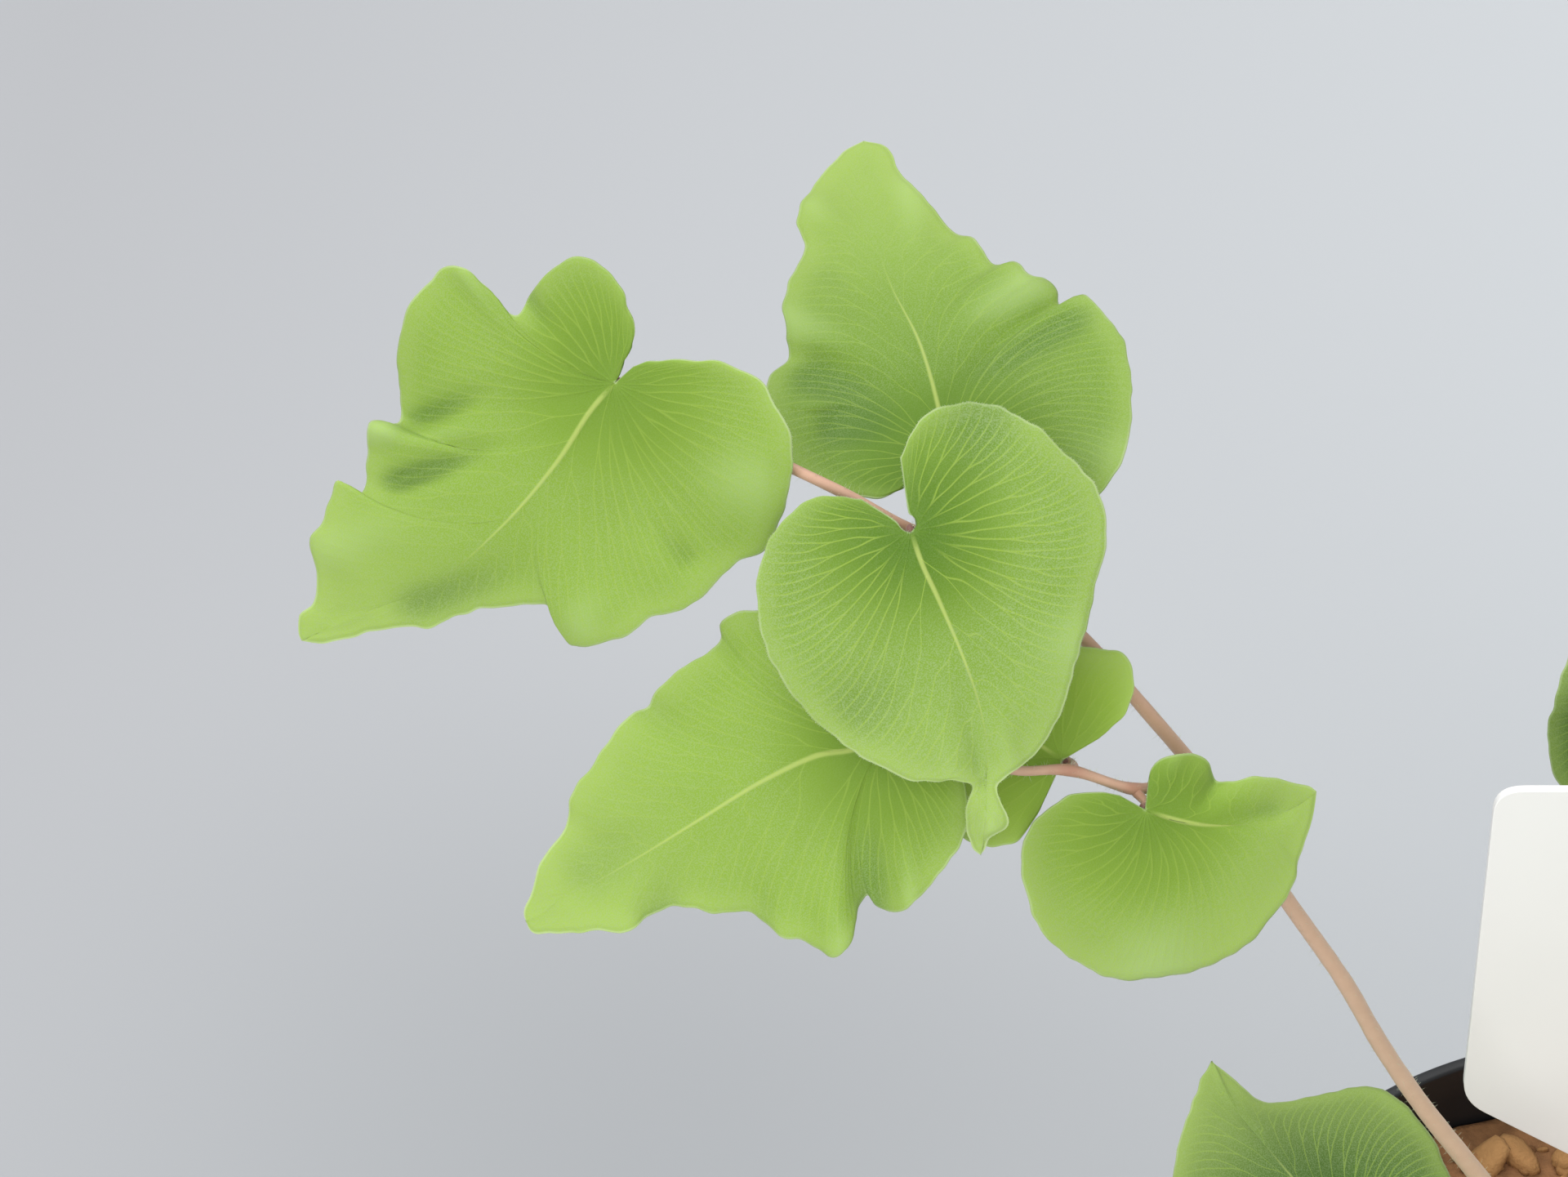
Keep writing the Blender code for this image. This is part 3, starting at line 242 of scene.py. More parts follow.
SOIL_TOP = 61.0
SOIL_CLEARANCE = 0.4
SOIL_GAP = 0.3
SOIL_SIDES = 180
SOIL_RINGS = 70
# The lumps of the soil's top: the size, the seed and the height of each kind.
SOIL_LUMPS = ((9.0, 3, 0.9), (3.0, 5, 0.55), (1.1, 7, 0.3))

# Bark chips: half the least length and what the largest adds to it, with small ones many by the power,
# the shares of it that are their width and height, how much they tilt, and how rough and blocky they are.
CHIP_COUNT = 1100
CHIP_REACH = 34.0
CHIP_SEED = 12
CHIP_SIZE = 0.55
CHIP_EXTRA_SIZE = 2.6
CHIP_SIZE_POWER = 3.2
CHIP_WIDTHS = (0.35, 0.8)
CHIP_HEIGHTS = (0.18, 0.45)
CHIP_TILT = 0.35
CHIP_TURN = 6.3
CHIP_ROUGHNESS = 0.28
CHIP_ROUGH_LENGTH = 0.8
CHIP_BLOCK_POWER = 0.8
# How far a chip's middle is above the soil under it, as a share of its height.
CHIP_SEAT = 0.55
# How much of a chip's colour is its own tone.
CHIP_TONE_SHARE = 0.6
# How far the chips stay from the middle of a stalk's foot and from spots along the label's slot.
FOOT_ROOM = 1.3
SLOT_ROOM = 1.0
SLOT_SPOTS = 8

# The label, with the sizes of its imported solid, and its softened corners and edges.
LABEL_THICKNESS = 0.8
LABEL_Y = 20.0
LABEL_LEFT = -16.5
LABEL_RIGHT = 14.5
LABEL_TOP = 113.5
LABEL_SHOULDER = 77.0
LABEL_STAKE_HALF_WIDTH = 3.5
LABEL_NECK = 69.0
LABEL_POINT_START = 38.0
LABEL_POINT = 30.0
LABEL_CORNER = 2.5
LABEL_POINT_RADIUS = 0.8
LABEL_CORNER_STEPS = 8
LABEL_SOFT_EDGE = 0.22
LABEL_SOFT_EDGE_STEPS = 3
LABEL_SHARP_ANGLE = math.radians(60)

# The card under the pot, in metres: its width, where the painted light that makes it paler across starts
# and ends, and where the painted shadow of the pot and plant is darkest and how far that reaches. The
# lights face a place in metres too.
FLOOR_WIDTH = 4.0
FLOOR_PAINTED_LIGHT_START = -0.17
FLOOR_PAINTED_LIGHT_END = 0.03
FLOOR_PAINTED_SHADOW_PLACE = (-0.095, 0.08, 0.0)
FLOOR_PAINTED_SHADOW_REACH = 0.11
LIGHT_AIM = (-0.05, 0.02, 0.1)

# The camera, fitted so that the leaflets, the label and the rim come where the picture has them.
CAMERA_PLACE = (-75.75, -330.64, 429.42)
CAMERA_TILT = math.radians(50)
CAMERA_LENS = 130.0

# The blade's greens, mottled from the first to the second, then at its base, partly its own and partly
# painted shade, at its tip and its edges, partly its own and partly painted light, the painted shade in the
# hollows and the painted highlight on the crests of its folds, and of its veins, midrib, down and rim.
LEAF_GREEN = "#71912E"
LEAF_LIGHT_GREEN = "#80A03C"
# Partly the blade's own deeper green at its base and partly painted shade, where the leaflets over it shade
# it.
LEAF_BASE_AND_SHADE_GREEN = "#476B18"
# Paler towards the tip and edges: partly the blade's own colour and partly painted light, where thin parts
# let light through.
LEAF_TIP_AND_LIT_GREEN = "#9FB85C"
# The next two paint light: painted shade in the folds' hollows and a painted highlight on their crests.
LEAF_PAINTED_SHADE_GREEN = "#44672B"
LEAF_PAINTED_HIGHLIGHT_GREEN = "#A6C078"
LEAF_VEIN_GREEN = "#96AF48"
LEAF_RIB_GREEN = "#B9C66E"
LEAF_DOWN = "#98AC7E"
LEAF_EDGE = "#BCCB9E"
# The green that tints each kind of blade and the share of it, the share of the deep green and painted shade
# at its base and how far that reaches, and the shares of its vein and down colours.
BLADE_TINTS = {
    "velvety_fern_blade": ("#71912E", 0.0, 0.8, 11.0, 0.6, 0.48),
    # A darker copy for the leaflet behind the front one: painted shade, reaching far out from its base.
    "deep_fern_blade": ("#5F7F2C", 0.15, 0.66, 20.0, 0.35, 0.3),
    "fresh_fern_blade": ("#9CBB44", 0.25, 0.45, 13.0, 0.4, 0.35),
    # A paler copy for the small young leaflet: partly its own paler green and partly painted light that
    # lifts the shade the front leaflet casts on it.
    "young_fern_blade": ("#A4C24C", 0.5, 0.35, 13.0, 0.35, 0.25),
    # A darker, duller copy for the other fronds' leaflets: painted shade.
    "older_fern_blade": ("#3D5A28", 0.85, 0.7, 13.0, 0.4, 0.25),
}

# Each blade's kind, the columns and rows of each of its halves, and the hairs on its edge and its face.
DETAIL = {
    "leaflet_left_front": ("velvety_fern_blade", 300, 52, 2200, 4000),
    "leaflet_left_back": ("deep_fern_blade", 220, 34, 1100, 0),
    "leaflet_left_tip": ("fresh_fern_blade", 240, 36, 1500, 0),
    "leaflet_left_branch_tip": ("fresh_fern_blade", 240, 34, 1500, 0),
    "leaflet_left_branch_outer": ("fresh_fern_blade", 180, 30, 800, 0),
    "leaflet_left_branch_inner": ("young_fern_blade", 120, 22, 400, 0),
}
# The other fronds' leaflets take the darker copy, which is painted shade.
PLAIN_DETAIL = ("older_fern_blade", 96, 16, 300, 0)
# The hairs on each millimetre of a stalk, and the fewest on a petiolule.
STALK_HAIRS_PER_MM = {"frond_left_stalk": 9}
PLAIN_HAIRS_PER_MM = 4
FEWEST_HAIRS = 2


def unit(vectors):
    """The vectors scaled to a length of 1."""
    vectors = np.asarray(vectors, float)
    return vectors / np.maximum(np.linalg.norm(vectors, axis=-1, keepdims=True), TINY)


def smooth_curve(points):
    """A dense smooth curve through the points, and the length along it at each of its own points."""
    knots = np.array(points, float)
    gaps = np.sqrt(np.linalg.norm(np.diff(knots, axis=0), axis=1))
    slopes = np.diff(knots, axis=0) / gaps[:, None]
    tangents = np.vstack((slopes[:1], slopes[1:], slopes[-1:]))
    share = (gaps[1:] / (gaps[:-1] + gaps[1:]))[:, None]
    tangents[1:-1] = slopes[:-1] * share + slopes[1:] * (1 - share)
    curve = [knots[:1]]
    for i, gap in enumerate(gaps):
        t = np.linspace(0, 1, CURVE_STEPS + 1)[1:, None]
        curve.append(
            (2 * t**3 - 3 * t**2 + 1) * knots[i]
            + (t**3 - 2 * t**2 + t) * gap * tangents[i]
            + (3 * t**2 - 2 * t**3) * knots[i + 1]
            + (t**3 - t**2) * gap * tangents[i + 1]
        )
    curve = np.vstack(curve)
    lengths = np.concatenate(([0.0], np.cumsum(np.linalg.norm(np.diff(curve, axis=0), axis=1))))
    return curve, lengths


def at_share(curve, lengths, share):
    """Points of a curve at shares of its length from 0 to 1."""
    wanted = np.asarray(share, float) * lengths[-1]
    return np.stack([np.interp(wanted, lengths, column) for column in curve.T], axis=-1)


def eased(values, start, end):
    """0 before start, 1 after end, and smooth between them."""
    t = np.clip((values - start) / (end - start), 0, 1)
    return t * t * (3 - 2 * t)


def lumps(points, size, seed):
    """Smooth noise from -1 to 1 at each point, with features of about that size."""
    shift = Vector([seed * step for step in SEED_SHIFT])
    return np.array([noise.noise(Vector(p) / size + shift) for p in points])


def linear(hex_colour):
    """An sRGB hex colour as linear red, green, blue and alpha."""
    channels = [int(hex_colour[i : i + 2], 16) / 255 for i in (1, 3, 5)]
    return (*[c / 12.92 if c <= 0.04045 else ((c + 0.055) / 1.055) ** 2.4 for c in channels], 1.0)


def feed(tree, shader_node, inputs):
    """Sets each input to its value or its hex colour, or links it to a socket or to a node's first output
    in use."""
    for name, value in inputs.items():
        if isinstance(value, str):
            value = linear(value)
        if isinstance(value, bpy.types.Node):
            value = next(socket for socket in value.outputs if socket.enabled)
        if isinstance(value, bpy.types.NodeSocket):
            tree.links.new(value, shader_node.inputs[name])
        else:
            shader_node.inputs[name].default_value = value


def put(tree, kind, inputs, **settings):
    """Adds a shader node with its settings and its inputs."""
    made = tree.nodes.new("ShaderNode" + kind)
    for name, value in settings.items():
        setattr(made, name, value)
    feed(tree, made, inputs)
    return made


def new_material(name, constants):
    """A material with its tree, its shader with these constants, and the place on the piece in metres."""
    made = bpy.data.materials.new(name)
    made.use_nodes = True
    tree = made.node_tree
    shader = tree.nodes["Principled BSDF"]
    feed(tree, shader, constants)
    return made, tree, shader, put(tree, "TexCoord", {}).outputs["Object"]


def add_piece(name, points, faces, finish, attributes=None, replaces=None):
    """A smooth mesh that rides on the part's one body. Faces are arrays of triangles or of quads, and each
    attribute is one vector for each point, or for each corner of each face."""
    mesh = bpy.data.meshes.new(name)
    corners = np.concatenate([part.ravel() for part in faces])
    sizes = np.concatenate([np.full(len(part), part.shape[1]) for part in faces])
    mesh.vertices.add(len(points))
    mesh.vertices.foreach_set("co", (np.asarray(points) * MM).astype(np.float32).ravel())
    mesh.loops.add(len(corners))
    mesh.loops.foreach_set("vertex_index", corners.astype(np.int32))
    mesh.polygons.add(len(sizes))
    starts = np.concatenate(([0], np.cumsum(sizes)[:-1]))
    mesh.polygons.foreach_set("loop_start", starts.astype(np.int32))
    mesh.update(calc_edges=True)
    mesh.shade_smooth()
    for label, vectors in (attributes or {}).items():
        domain = "POINT" if len(vectors) == len(points) else "CORNER"
        made = mesh.attributes.new(label, "FLOAT_VECTOR", domain)
        made.data.foreach_set("vector", np.asarray(vectors, np.float32).ravel())
    mesh.materials.append(finish)
    piece = bpy.data.objects.new(name, mesh)
    bpy.context.scene.collection.objects.link(piece)
    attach(piece, "root")
    if replaces:
        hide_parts(replaces)
    return piece


# Leaf blades


class Blade:
    """One leaflet. Its outline is (along, across, rise) from its base: along the line to its tip, to its
    left as seen from its face, and up out of its plane. The left and right lists run from the notch
    at the base round the lobe towards the tip, which is the midrib's last point. Its folds are soft
    ridges, or valleys where the height is negative: (outer end, inner end, width, height)."""

    def __init__(
        self, name, base, tip, face, midrib, left, right, lift=None, folds=(), notch=NOTCH, rib=MIDRIB
    ):
        self.name = name
        self.base = np.array(base, float)
        self.along = unit(np.array(tip, float) - self.base)
        face = np.array(face, float)
        self.normal = unit(face - self.along * np.dot(face, self.along))
        self.across = np.cross(self.normal, self.along)
        self.lift = self.normal if lift is None else lift
        self.folds = folds
        self.notch = notch
        self.rib_size = rib
        self.midrib = smooth_curve([(0, 0, 0)] + midrib)
        self.sides = {1: smooth_curve(left + [midrib[-1]]), -1: smooth_curve(right + [midrib[-1]])}
        self.seed = sum(map(ord, name)) % BLADE_SEEDS

    def seat(self):
        """The last points of its petiolule, which comes up from under the blade to the notch."""
        under = self.base + self.along * SEAT_INSET - self.normal * SEAT_DEPTH
        return under, self.base - self.normal * self.notch[2]

    def placed(self, flat):
        """Points given as (along, across, rise) at their places in the solids' frame."""
        return (
            self.base
            + flat[..., 0:1] * self.along
            + flat[..., 1:2] * self.across
            + flat[..., 2:3] * self.lift
        )

    def fold_rise(self, flat):
        """How high its folds raise each point: fully at their outer ends, and not at all at their inner
        ends or well behind them."""
        rise = np.zeros(flat.shape[:-1])
        for outer, inner, width, height in self.folds:
            line = np.subtract(inner, outer)
            offset = flat[..., :2] - outer
            inward = offset @ line / (line @ line)
            aside = (offset[..., 0] * line[1] - offset[..., 1] * line[0]) / np.hypot(*line)
            length_share = eased(inward, -FOLD_END, 0) * (1 - eased(inward, 0, 1))
            rise += height * np.exp(-((aside / width) ** 2)) * length_share
        return rise

    def shaped(self, flat):
        """The points with the folds raised, and pushed back from the petiolule to open a round notch."""
        shaped = flat.copy()
        shaped[..., 2] += self.fold_rise(flat)
        radius, back, _ = self.notch
        away = flat[..., :2] + (back, 0)
        distance = np.linalg.norm(away, axis=-1, keepdims=True)
        shaped[..., :2] += unit(away) * (np.hypot(distance, radius) - distance)
        return shaped

    def notched_margin(self, side, shares):
        """The margin at those shares of its length, with the fine uneven notching of a real edge."""
        curve, lengths = self.sides[side]
        margin = at_share(curve, lengths, shares)
        along_edge = np.gradient(margin, axis=0)
        outward = unit(side * np.stack((-along_edge[:, 1], along_edge[:, 0]), axis=1))
        places = np.stack((shares * lengths[-1], 0 * shares, 0 * shares + side), axis=1)
        depth = EDGE_NOTCHING * lumps(places, EDGE_NOTCH_LENGTH, self.seed)
        margin[:, :2] += outward * (depth * eased(1 - shares, 0, SMOOTH_TIP_SHARE))[:, None]
        return margin

    def starts(self, margin, shares):
        """The share of the midrib's length at which the vein to each margin point leaves it."""
        curve, lengths = self.midrib
        aside = np.abs(margin[:, 1] - np.interp(margin[:, 0], curve[:, 0], curve[:, 1]))
        along = np.maximum.accumulate(np.clip(margin[:, 0] - VEIN_SLANT * aside, 0, None))
        starts = np.interp(along, curve[:, 0], lengths / lengths[-1])
        reach = round(START_SOFTNESS * len(shares))
        window = np.ones(2 * reach + 1) / (2 * reach + 1)
        soft = np.convolve(np.pad(starts, reach, mode="edge"), window, mode="valid")
        return soft + (1 - soft[-1]) * eased(shares, 1 - START_SOFTNESS, 1)

    def half(self, side, shares, rows):
        """One half's points, its veins, its measures and where its veins start. The measures are how much
        midrib a point has, and how far it is from an edge."""
        margin = self.notched_margin(side, shares)
        slide = self.starts(margin, shares)
        start = at_share(*self.midrib, slide)
        reach = margin - start
        bow = VEIN_BOW * np.clip(shares / FULL_BOW_SHARE, 0, 1)[:, None, None]
        aside = side * np.stack((reach[:, 1], -reach[:, 0]), axis=1)[:, None]
        v = rows[None, :, None]
        flat = start[:, None] + reach[:, None] * v
        flat[..., :2] += aside * bow * 4 * v * (1 - v)
        flat[..., 2:] = start[:, None, 2:] + reach[:, None, 2:] * v**RISE_POWER
        flat[..., 2] += self.waves(flat, v[..., 0])
        run = np.linalg.norm(np.gradient(flat, shares, axis=0), axis=-1)
        size = np.linalg.norm(reach, axis=1)[:, None]
        edge = np.minimum((1 - v[..., 0]) * size, shares[:, None] * run)
        rib = self.rib_mark(self.off_midrib(flat), slide[:, None])
        measures = np.stack((rib, edge, 0 * edge), axis=-1)
        return self.shaped(flat), self.veins(side, shares, rows, run), measures, slide

    def off_midrib(self, flat):
        """How far each point is from the midrib, in the blade's plane."""
        curve = self.midrib[0][:, :2]
        step = np.diff(curve, axis=0)
        offset = flat[..., None, :2] - curve[:-1]
        share = np.clip(np.sum(offset * step, axis=-1) / np.sum(step * step, axis=-1), 0, 1)
        return np.min(np.linalg.norm(offset - share[..., None] * step, axis=-1), axis=-1)

    def rib_mark(self, distance, share):
        """0 off the midrib and 1 along it, where it narrows and fades towards the tip."""
        half_width, fade = self.rib_size
        width = half_width * np.clip(MIDRIB_NARROWS_FROM - share / fade, MIDRIB_LEAST_WIDTH, 1)
        return (1 - eased(distance, 0, 2 * width)) * (1 - eased(share, MIDRIB_FADE_START * fade, fade))

    def rib(self, shares):
        """The midrib's points, with the same values."""
        curve, lengths = self.midrib
        edge = np.minimum(shares, 1 - shares) * lengths[-1]
        veins = np.tile(NO_VEIN, (len(shares), 1))
        measures = np.stack((self.rib_mark(0 * shares, shares), edge, 0 * shares), axis=1)
        return self.shaped(at_share(curve, lengths, shares)), veins, measures

    def waves(self, flat, v):
        """The face's soft waves at each point, by its share of the way out."""
        places = flat.reshape(-1, 3) * (1, 1, 0)
        height = lumps(places, BLADE_WAVE_LENGTH, self.seed + 1).reshape(flat.shape[:2])
        return BLADE_WAVE * height * eased(v, 0, BLADE_WAVE_FULL)

    def veins(self, side, shares, rows, run):
        """The place among the main veins, the share of the way out at which they fork, and the spacing."""
        count = round(self.sides[side][1][-1] / (VEIN_SPACING * VEINS_FROM_EACH))
        places = np.stack((shares * count, 0 * shares + SIDE_SHIFT * side, 0 * shares), axis=1)
        jitter = FORK_JITTER * lumps(places, FORK_JITTER_LENGTH, self.seed)
        waver = VEIN_WAVER * np.sin(VEIN_WAVER_RATE * rows + SIDE_PHASE * side + self.seed)
        cells = (shares * count)[:, None] + waver[None]
        forks = rows[None] + jitter[:, None]
        return np.stack((cells, forks, run / count), axis=-1)


def vein_height(veins):
    """0 between the veins and 1 along them, by the same rule as the blade's colour."""
    cells, forks, spacing = np.moveaxis(veins, -1, 0)
    away = cells % 1 - 0.5
    for start, spread in FORKS:
        away = np.abs(away) - spread * eased(forks, start, start + FORK_RUN)
    return 1 - eased(np.abs(away) * spacing, 0, 2 * VEIN_HALF_WIDTH)


def half_triangles(index, slide, rib_share):
    """One half's triangles, by their points and by their corners' own values. They are the same but on the
    midrib, whose points both halves share while each half counts its own veins there."""
    a, b, c, d = index[:-1, 1:-1], index[:-1, 2:], index[1:, 2:], index[1:, 1:-1]
    grid = np.concatenate([np.stack(three, axis=-1).reshape(-1, 3) for three in ((a, b, c), (a, c, d))])
    column_steps = (slide[1:] + slide[:-1]) / 2
    rib_steps = (rib_share[1:] + rib_share[:-1]) / 2
    rib = np.searchsorted(rib_steps, column_steps, side="left")
    fans = np.stack((rib, index[:-1, 1], index[1:, 1]), axis=1)
    fan_corners = np.stack((index[:-1, 0], index[:-1, 1], index[1:, 1]), axis=1)
    column = np.searchsorted(column_steps, rib_steps, side="right")
    rib = np.arange(len(rib_steps))
    steps = np.stack((rib, index[column, 1], rib + 1), axis=1)
    step_corners = np.stack((index[column, 0], index[column, 1], index[column, 0]), axis=1)
    return np.concatenate((grid, fans, steps)), np.concatenate((grid, fan_corners, step_corners))


def blade_sheet(blade, columns, rows):
    """The blade's middle sheet: its values at each place, its points, and its triangles by both."""
    shares = np.linspace(0, 1, columns + 1)
    even = np.linspace(0, 1, rows + 1)
    across = even - ROW_CROWDING * np.sin(2 * math.pi * even) / (2 * math.pi)
    rib_share = np.linspace(0, 1, columns // COLUMNS_PER_RIB_STEP + 1)
    grid = np.arange((columns + 1) * (rows + 1)).reshape(columns + 1, rows + 1)
    values = [blade.rib(rib_share)]
    places, corners = [], []
    for side in (1, -1):
        *half, slide = blade.half(side, shares, across)
        index = grid + sum(len(part[0]) for part in values)
        values.append([part.reshape(-1, 3) for part in half])
        by_place, by_corner = half_triangles(index, slide, rib_share)
        places.append(by_place[:, ::-side])
        corners.append(by_corner[:, ::-side])
    flats, veins, measures = (np.concatenate(parts) for parts in zip(*values))
    joined = np.round(flats, JOIN_DECIMALS)
    _, first, number = np.unique(joined, axis=0, return_index=True, return_inverse=True)
    faces = number.ravel()[np.concatenate(places)]
    whole = np.all(faces != np.roll(faces, 1, axis=1), axis=1)
    used, faces = np.unique(faces[whole], return_inverse=True)
    return flats, veins, measures, first[used], faces.reshape(-1, 3), np.concatenate(corners)[whole]


def smooth_normals(points, faces):
    """Each point's normal, from the triangles round it."""
    facing = np.cross(points[faces[:, 1]] - points[faces[:, 0]], points[faces[:, 2]] - points[faces[:, 0]])
    normals = np.zeros_like(points)
    for corner in range(3):
        np.add.at(normals, faces[:, corner], facing)
    return unit(normals)


def open_rim(faces, corners, count):
    """The sheet's open edges, by their points and by their corners' own values."""
    sides = np.concatenate([faces[:, [i, (i + 1) % 3]] for i in range(3)])
    side_corners = np.concatenate([corners[:, [i, (i + 1) % 3]] for i in range(3)])
    alone = ~np.isin(sides[:, 0] * count + sides[:, 1], sides[:, 1] * count + sides[:, 0])
    return sides[alone], side_corners[alone]


def add_blade(blade, columns, rows, finish):
    """The leaflet as a thin closed solid, with its veins and midrib raised."""
    flats, veins, measures, first, faces, corners = blade_sheet(blade, columns, rows)
    middle = blade.placed(flats[first])
    normals = smooth_normals(middle, faces)
    edge = measures[first, 1]
    body = THIN_EDGE_SHARE + (1 - THIN_EDGE_SHARE) * eased(edge, 0, THIN_EDGE_WIDTH)
    ridges = VEIN_RELIEF * vein_height(veins[first]) * eased(edge, 0, VEIN_RELIEF_MARGIN)
    ribs = MIDRIB_RELIEF * measures[first, 0]
    half_thickness = BLADE_THICKNESS / 2 * body
    top = middle + normals * (half_thickness + ridges + ribs)[:, None]
    bottom = middle - normals * (half_thickness + ridges + 2 * ribs)[:, None]
    count = len(middle)
    rim, rim_corners = open_rim(faces, corners, count)
    rim_faces = rim[:, [1, 0, 0, 1]] + (0, 0, count, count)
    rim_corners = rim_corners[:, [1, 0, 0, 1]]
    all_corners = np.concatenate((corners.ravel(), corners[:, ::-1].ravel(), rim_corners.ravel()))
    from_base = np.linalg.norm(flats[:, :2], axis=1)
    # The folds' rise is kept for the colour, which paints shade in their hollows and a highlight on their
    # crests.
    tone = np.stack((from_base, from_base / from_base.max(), blade.fold_rise(flats)), axis=1)
    add_piece(
        blade.name + "_blade",
        np.concatenate((top, bottom)),
        [faces, faces[:, ::-1] + count, rim_faces],
        finish,
        {"veins": veins[all_corners], "blade": measures[all_corners], "tone": tone[all_corners]},
        replaces=blade.name,
    )
    return {"points": top, "normals": normals, "faces": faces, "rim": rim, "middle": middle}


def needles(name, roots, tips, radii, finish):
    """Fine hairs, each a slim three-sided spike from its root to its tip."""
    along = unit(tips - roots)
    aside = np.where(np.abs(along[:, 2:]) > UPRIGHT, (1.0, 0, 0), (0, 0, 1.0))
    across = unit(np.cross(along, aside))
    other = np.cross(along, across)
    rings = []
    for corner in range(3):
        angle = 2 * math.pi * corner / 3
        rings.append(roots + radii[:, None] * (across * math.cos(angle) + other * math.sin(angle)))
    points = np.stack((*rings, tips), axis=1).reshape(-1, 3)
    pattern = np.array(((0, 1, 3), (1, 2, 3), (2, 0, 3), (0, 2, 1)))
    faces = (np.arange(len(roots))[:, None, None] * 4 + pattern).reshape(-1, 3)
    add_piece(name, points, [faces], finish)


def add_fringe(blade, surface, count, dice, finish):
    """Hairs that stand out round a blade's margin."""
    middle, normals, rim = surface["middle"], surface["normals"], surface["rim"]
    start, end = middle[rim[:, 0]], middle[rim[:, 1]]
    run = np.linalg.norm(end - start, axis=1)
    chosen = dice.choice(len(rim), count, p=run / run.sum())
    share = dice.random((count, 1))
    roots = start[chosen] * (1 - share) + end[chosen] * share
    outward = unit(np.cross(end - start, normals[rim[:, 0]]))[chosen]
    lean = dice.normal(0, FRINGE_SPREAD, (count, 3)) + normals[rim[:, 0]][chosen] * FRINGE_LIFT
    tips = roots + unit(outward + lean) * dice.uniform(*FRINGE_LENGTHS, (count, 1))
    radii = dice.uniform(*FRINGE_RADII, count)
    needles(blade.name + "_fringe", roots - outward * HAIR_ROOT, tips, radii, finish)


def add_face_down(blade, surface, count, dice, finish):
    """Short hairs all over a blade's face."""
    faces, top = surface["faces"], surface["points"]
    a, b, c = (top[faces[:, i]] for i in range(3))
    area = np.linalg.norm(np.cross(b - a, c - a), axis=1)
    chosen = dice.choice(len(faces), count, p=area / area.sum())
    mix = dice.dirichlet((1, 1, 1), count)
    roots = a[chosen] * mix[:, :1] + b[chosen] * mix[:, 1:2] + c[chosen] * mix[:, 2:]
    facing = surface["normals"][faces[chosen, 0]]
    size = dice.uniform(*DOWN_LENGTHS, (count, 1))
    tips = roots + unit(facing + dice.normal(0, DOWN_SPREAD, (count, 3))) * size
    radii = dice.uniform(*DOWN_RADII, count)
    needles(blade.name + "_down", roots - facing * HAIR_ROOT, tips, radii, finish)


# Fronds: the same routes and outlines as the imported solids


class Frond:
    """A stalk's route and radius, the petiolules and branches that leave it, and its leaflets."""

    def __init__(self, name, radius, route):
        self.name = name
        self.radius = radius
        self.route = route
        self.branches = []
        self.blades = []

    def branch(self, route, radius=PETIOLULE_RADIUS):
        """A branch or a petiolule, by its route and its radius where it starts."""
        self.branches.append((route, radius))

    def carry_on(self, route):
        """A branch that goes on from the stalk's own end."""
        end, before = np.array(self.route[-1]), np.array(self.route[-2])
        self.branch([end + unit(before - end) * SPLICE, *route])

    def leaflet(self, name, share, turn, length, droop, petiolule=PETIOLULE_LENGTH, heading=None):
        """A heart-shaped leaflet at a share of the stalk's length, in the frond's own plane. Its petiolule
        turns to the left of the stalk's direction, in degrees, and its blade goes the same way unless it
        has a heading of its own. At a share of 1 it ends the stalk."""
        curve, lengths = smooth_curve(self.route)
        shares = (share - DIRECTION_SHARE, share, min(1.0, share + DIRECTION_SHARE))
        before, where, after = at_share(curve, lengths, shares)
        forward = unit(after - before)
        left = unit(np.cross(UP, forward))
        face = np.cross(forward, left)

        def turned_by(degrees):
            return forward * math.cos(math.radians(degrees)) + left * math.sin(math.radians(degrees))

        lift = END_LEAFLET_LIFT if share == 1 else LEAFLET_LIFT
        base = where + turned_by(turn) * petiolule + face * lift
        level = turned_by(turn if heading is None else heading)
        along = level * math.cos(math.radians(droop)) - face * math.sin(math.radians(droop))
        dice = random.Random(name)
        blade = Blade(
            name,
            base,
            base + along * length,
            face,
            midrib=[(length * reach, 0, length * rise) for reach, rise in HEART_MIDRIB],
            left=heart_side(length, 1, dice),
            right=heart_side(length, -1, dice),
        )
        if share == 1:
            self.carry_on(blade.seat())
        else:
            self.branch([where, *blade.seat()])
        self.blades.append(blade)


def heart_side(length, side, dice):
    """Half of a heart-shaped outline, with a slightly uneven edge that waves out of its plane."""
    phase = dice.uniform(0, 2 * math.pi)
    half = []
    for i, (along, across) in enumerate(HEART):
        jitter = dice.uniform(-HEART_EDGE_JITTER, HEART_EDGE_JITTER)
        wave = math.sin(phase + HEART_WAVE_STEP * i) * min(1.0, across / HEART_WAVE_FULL)
        point = (along + jitter / 2, side * across * (1 + jitter), HEART_EDGE_WAVE * wave)
        half.append(tuple(length * value for value in point))
    return half


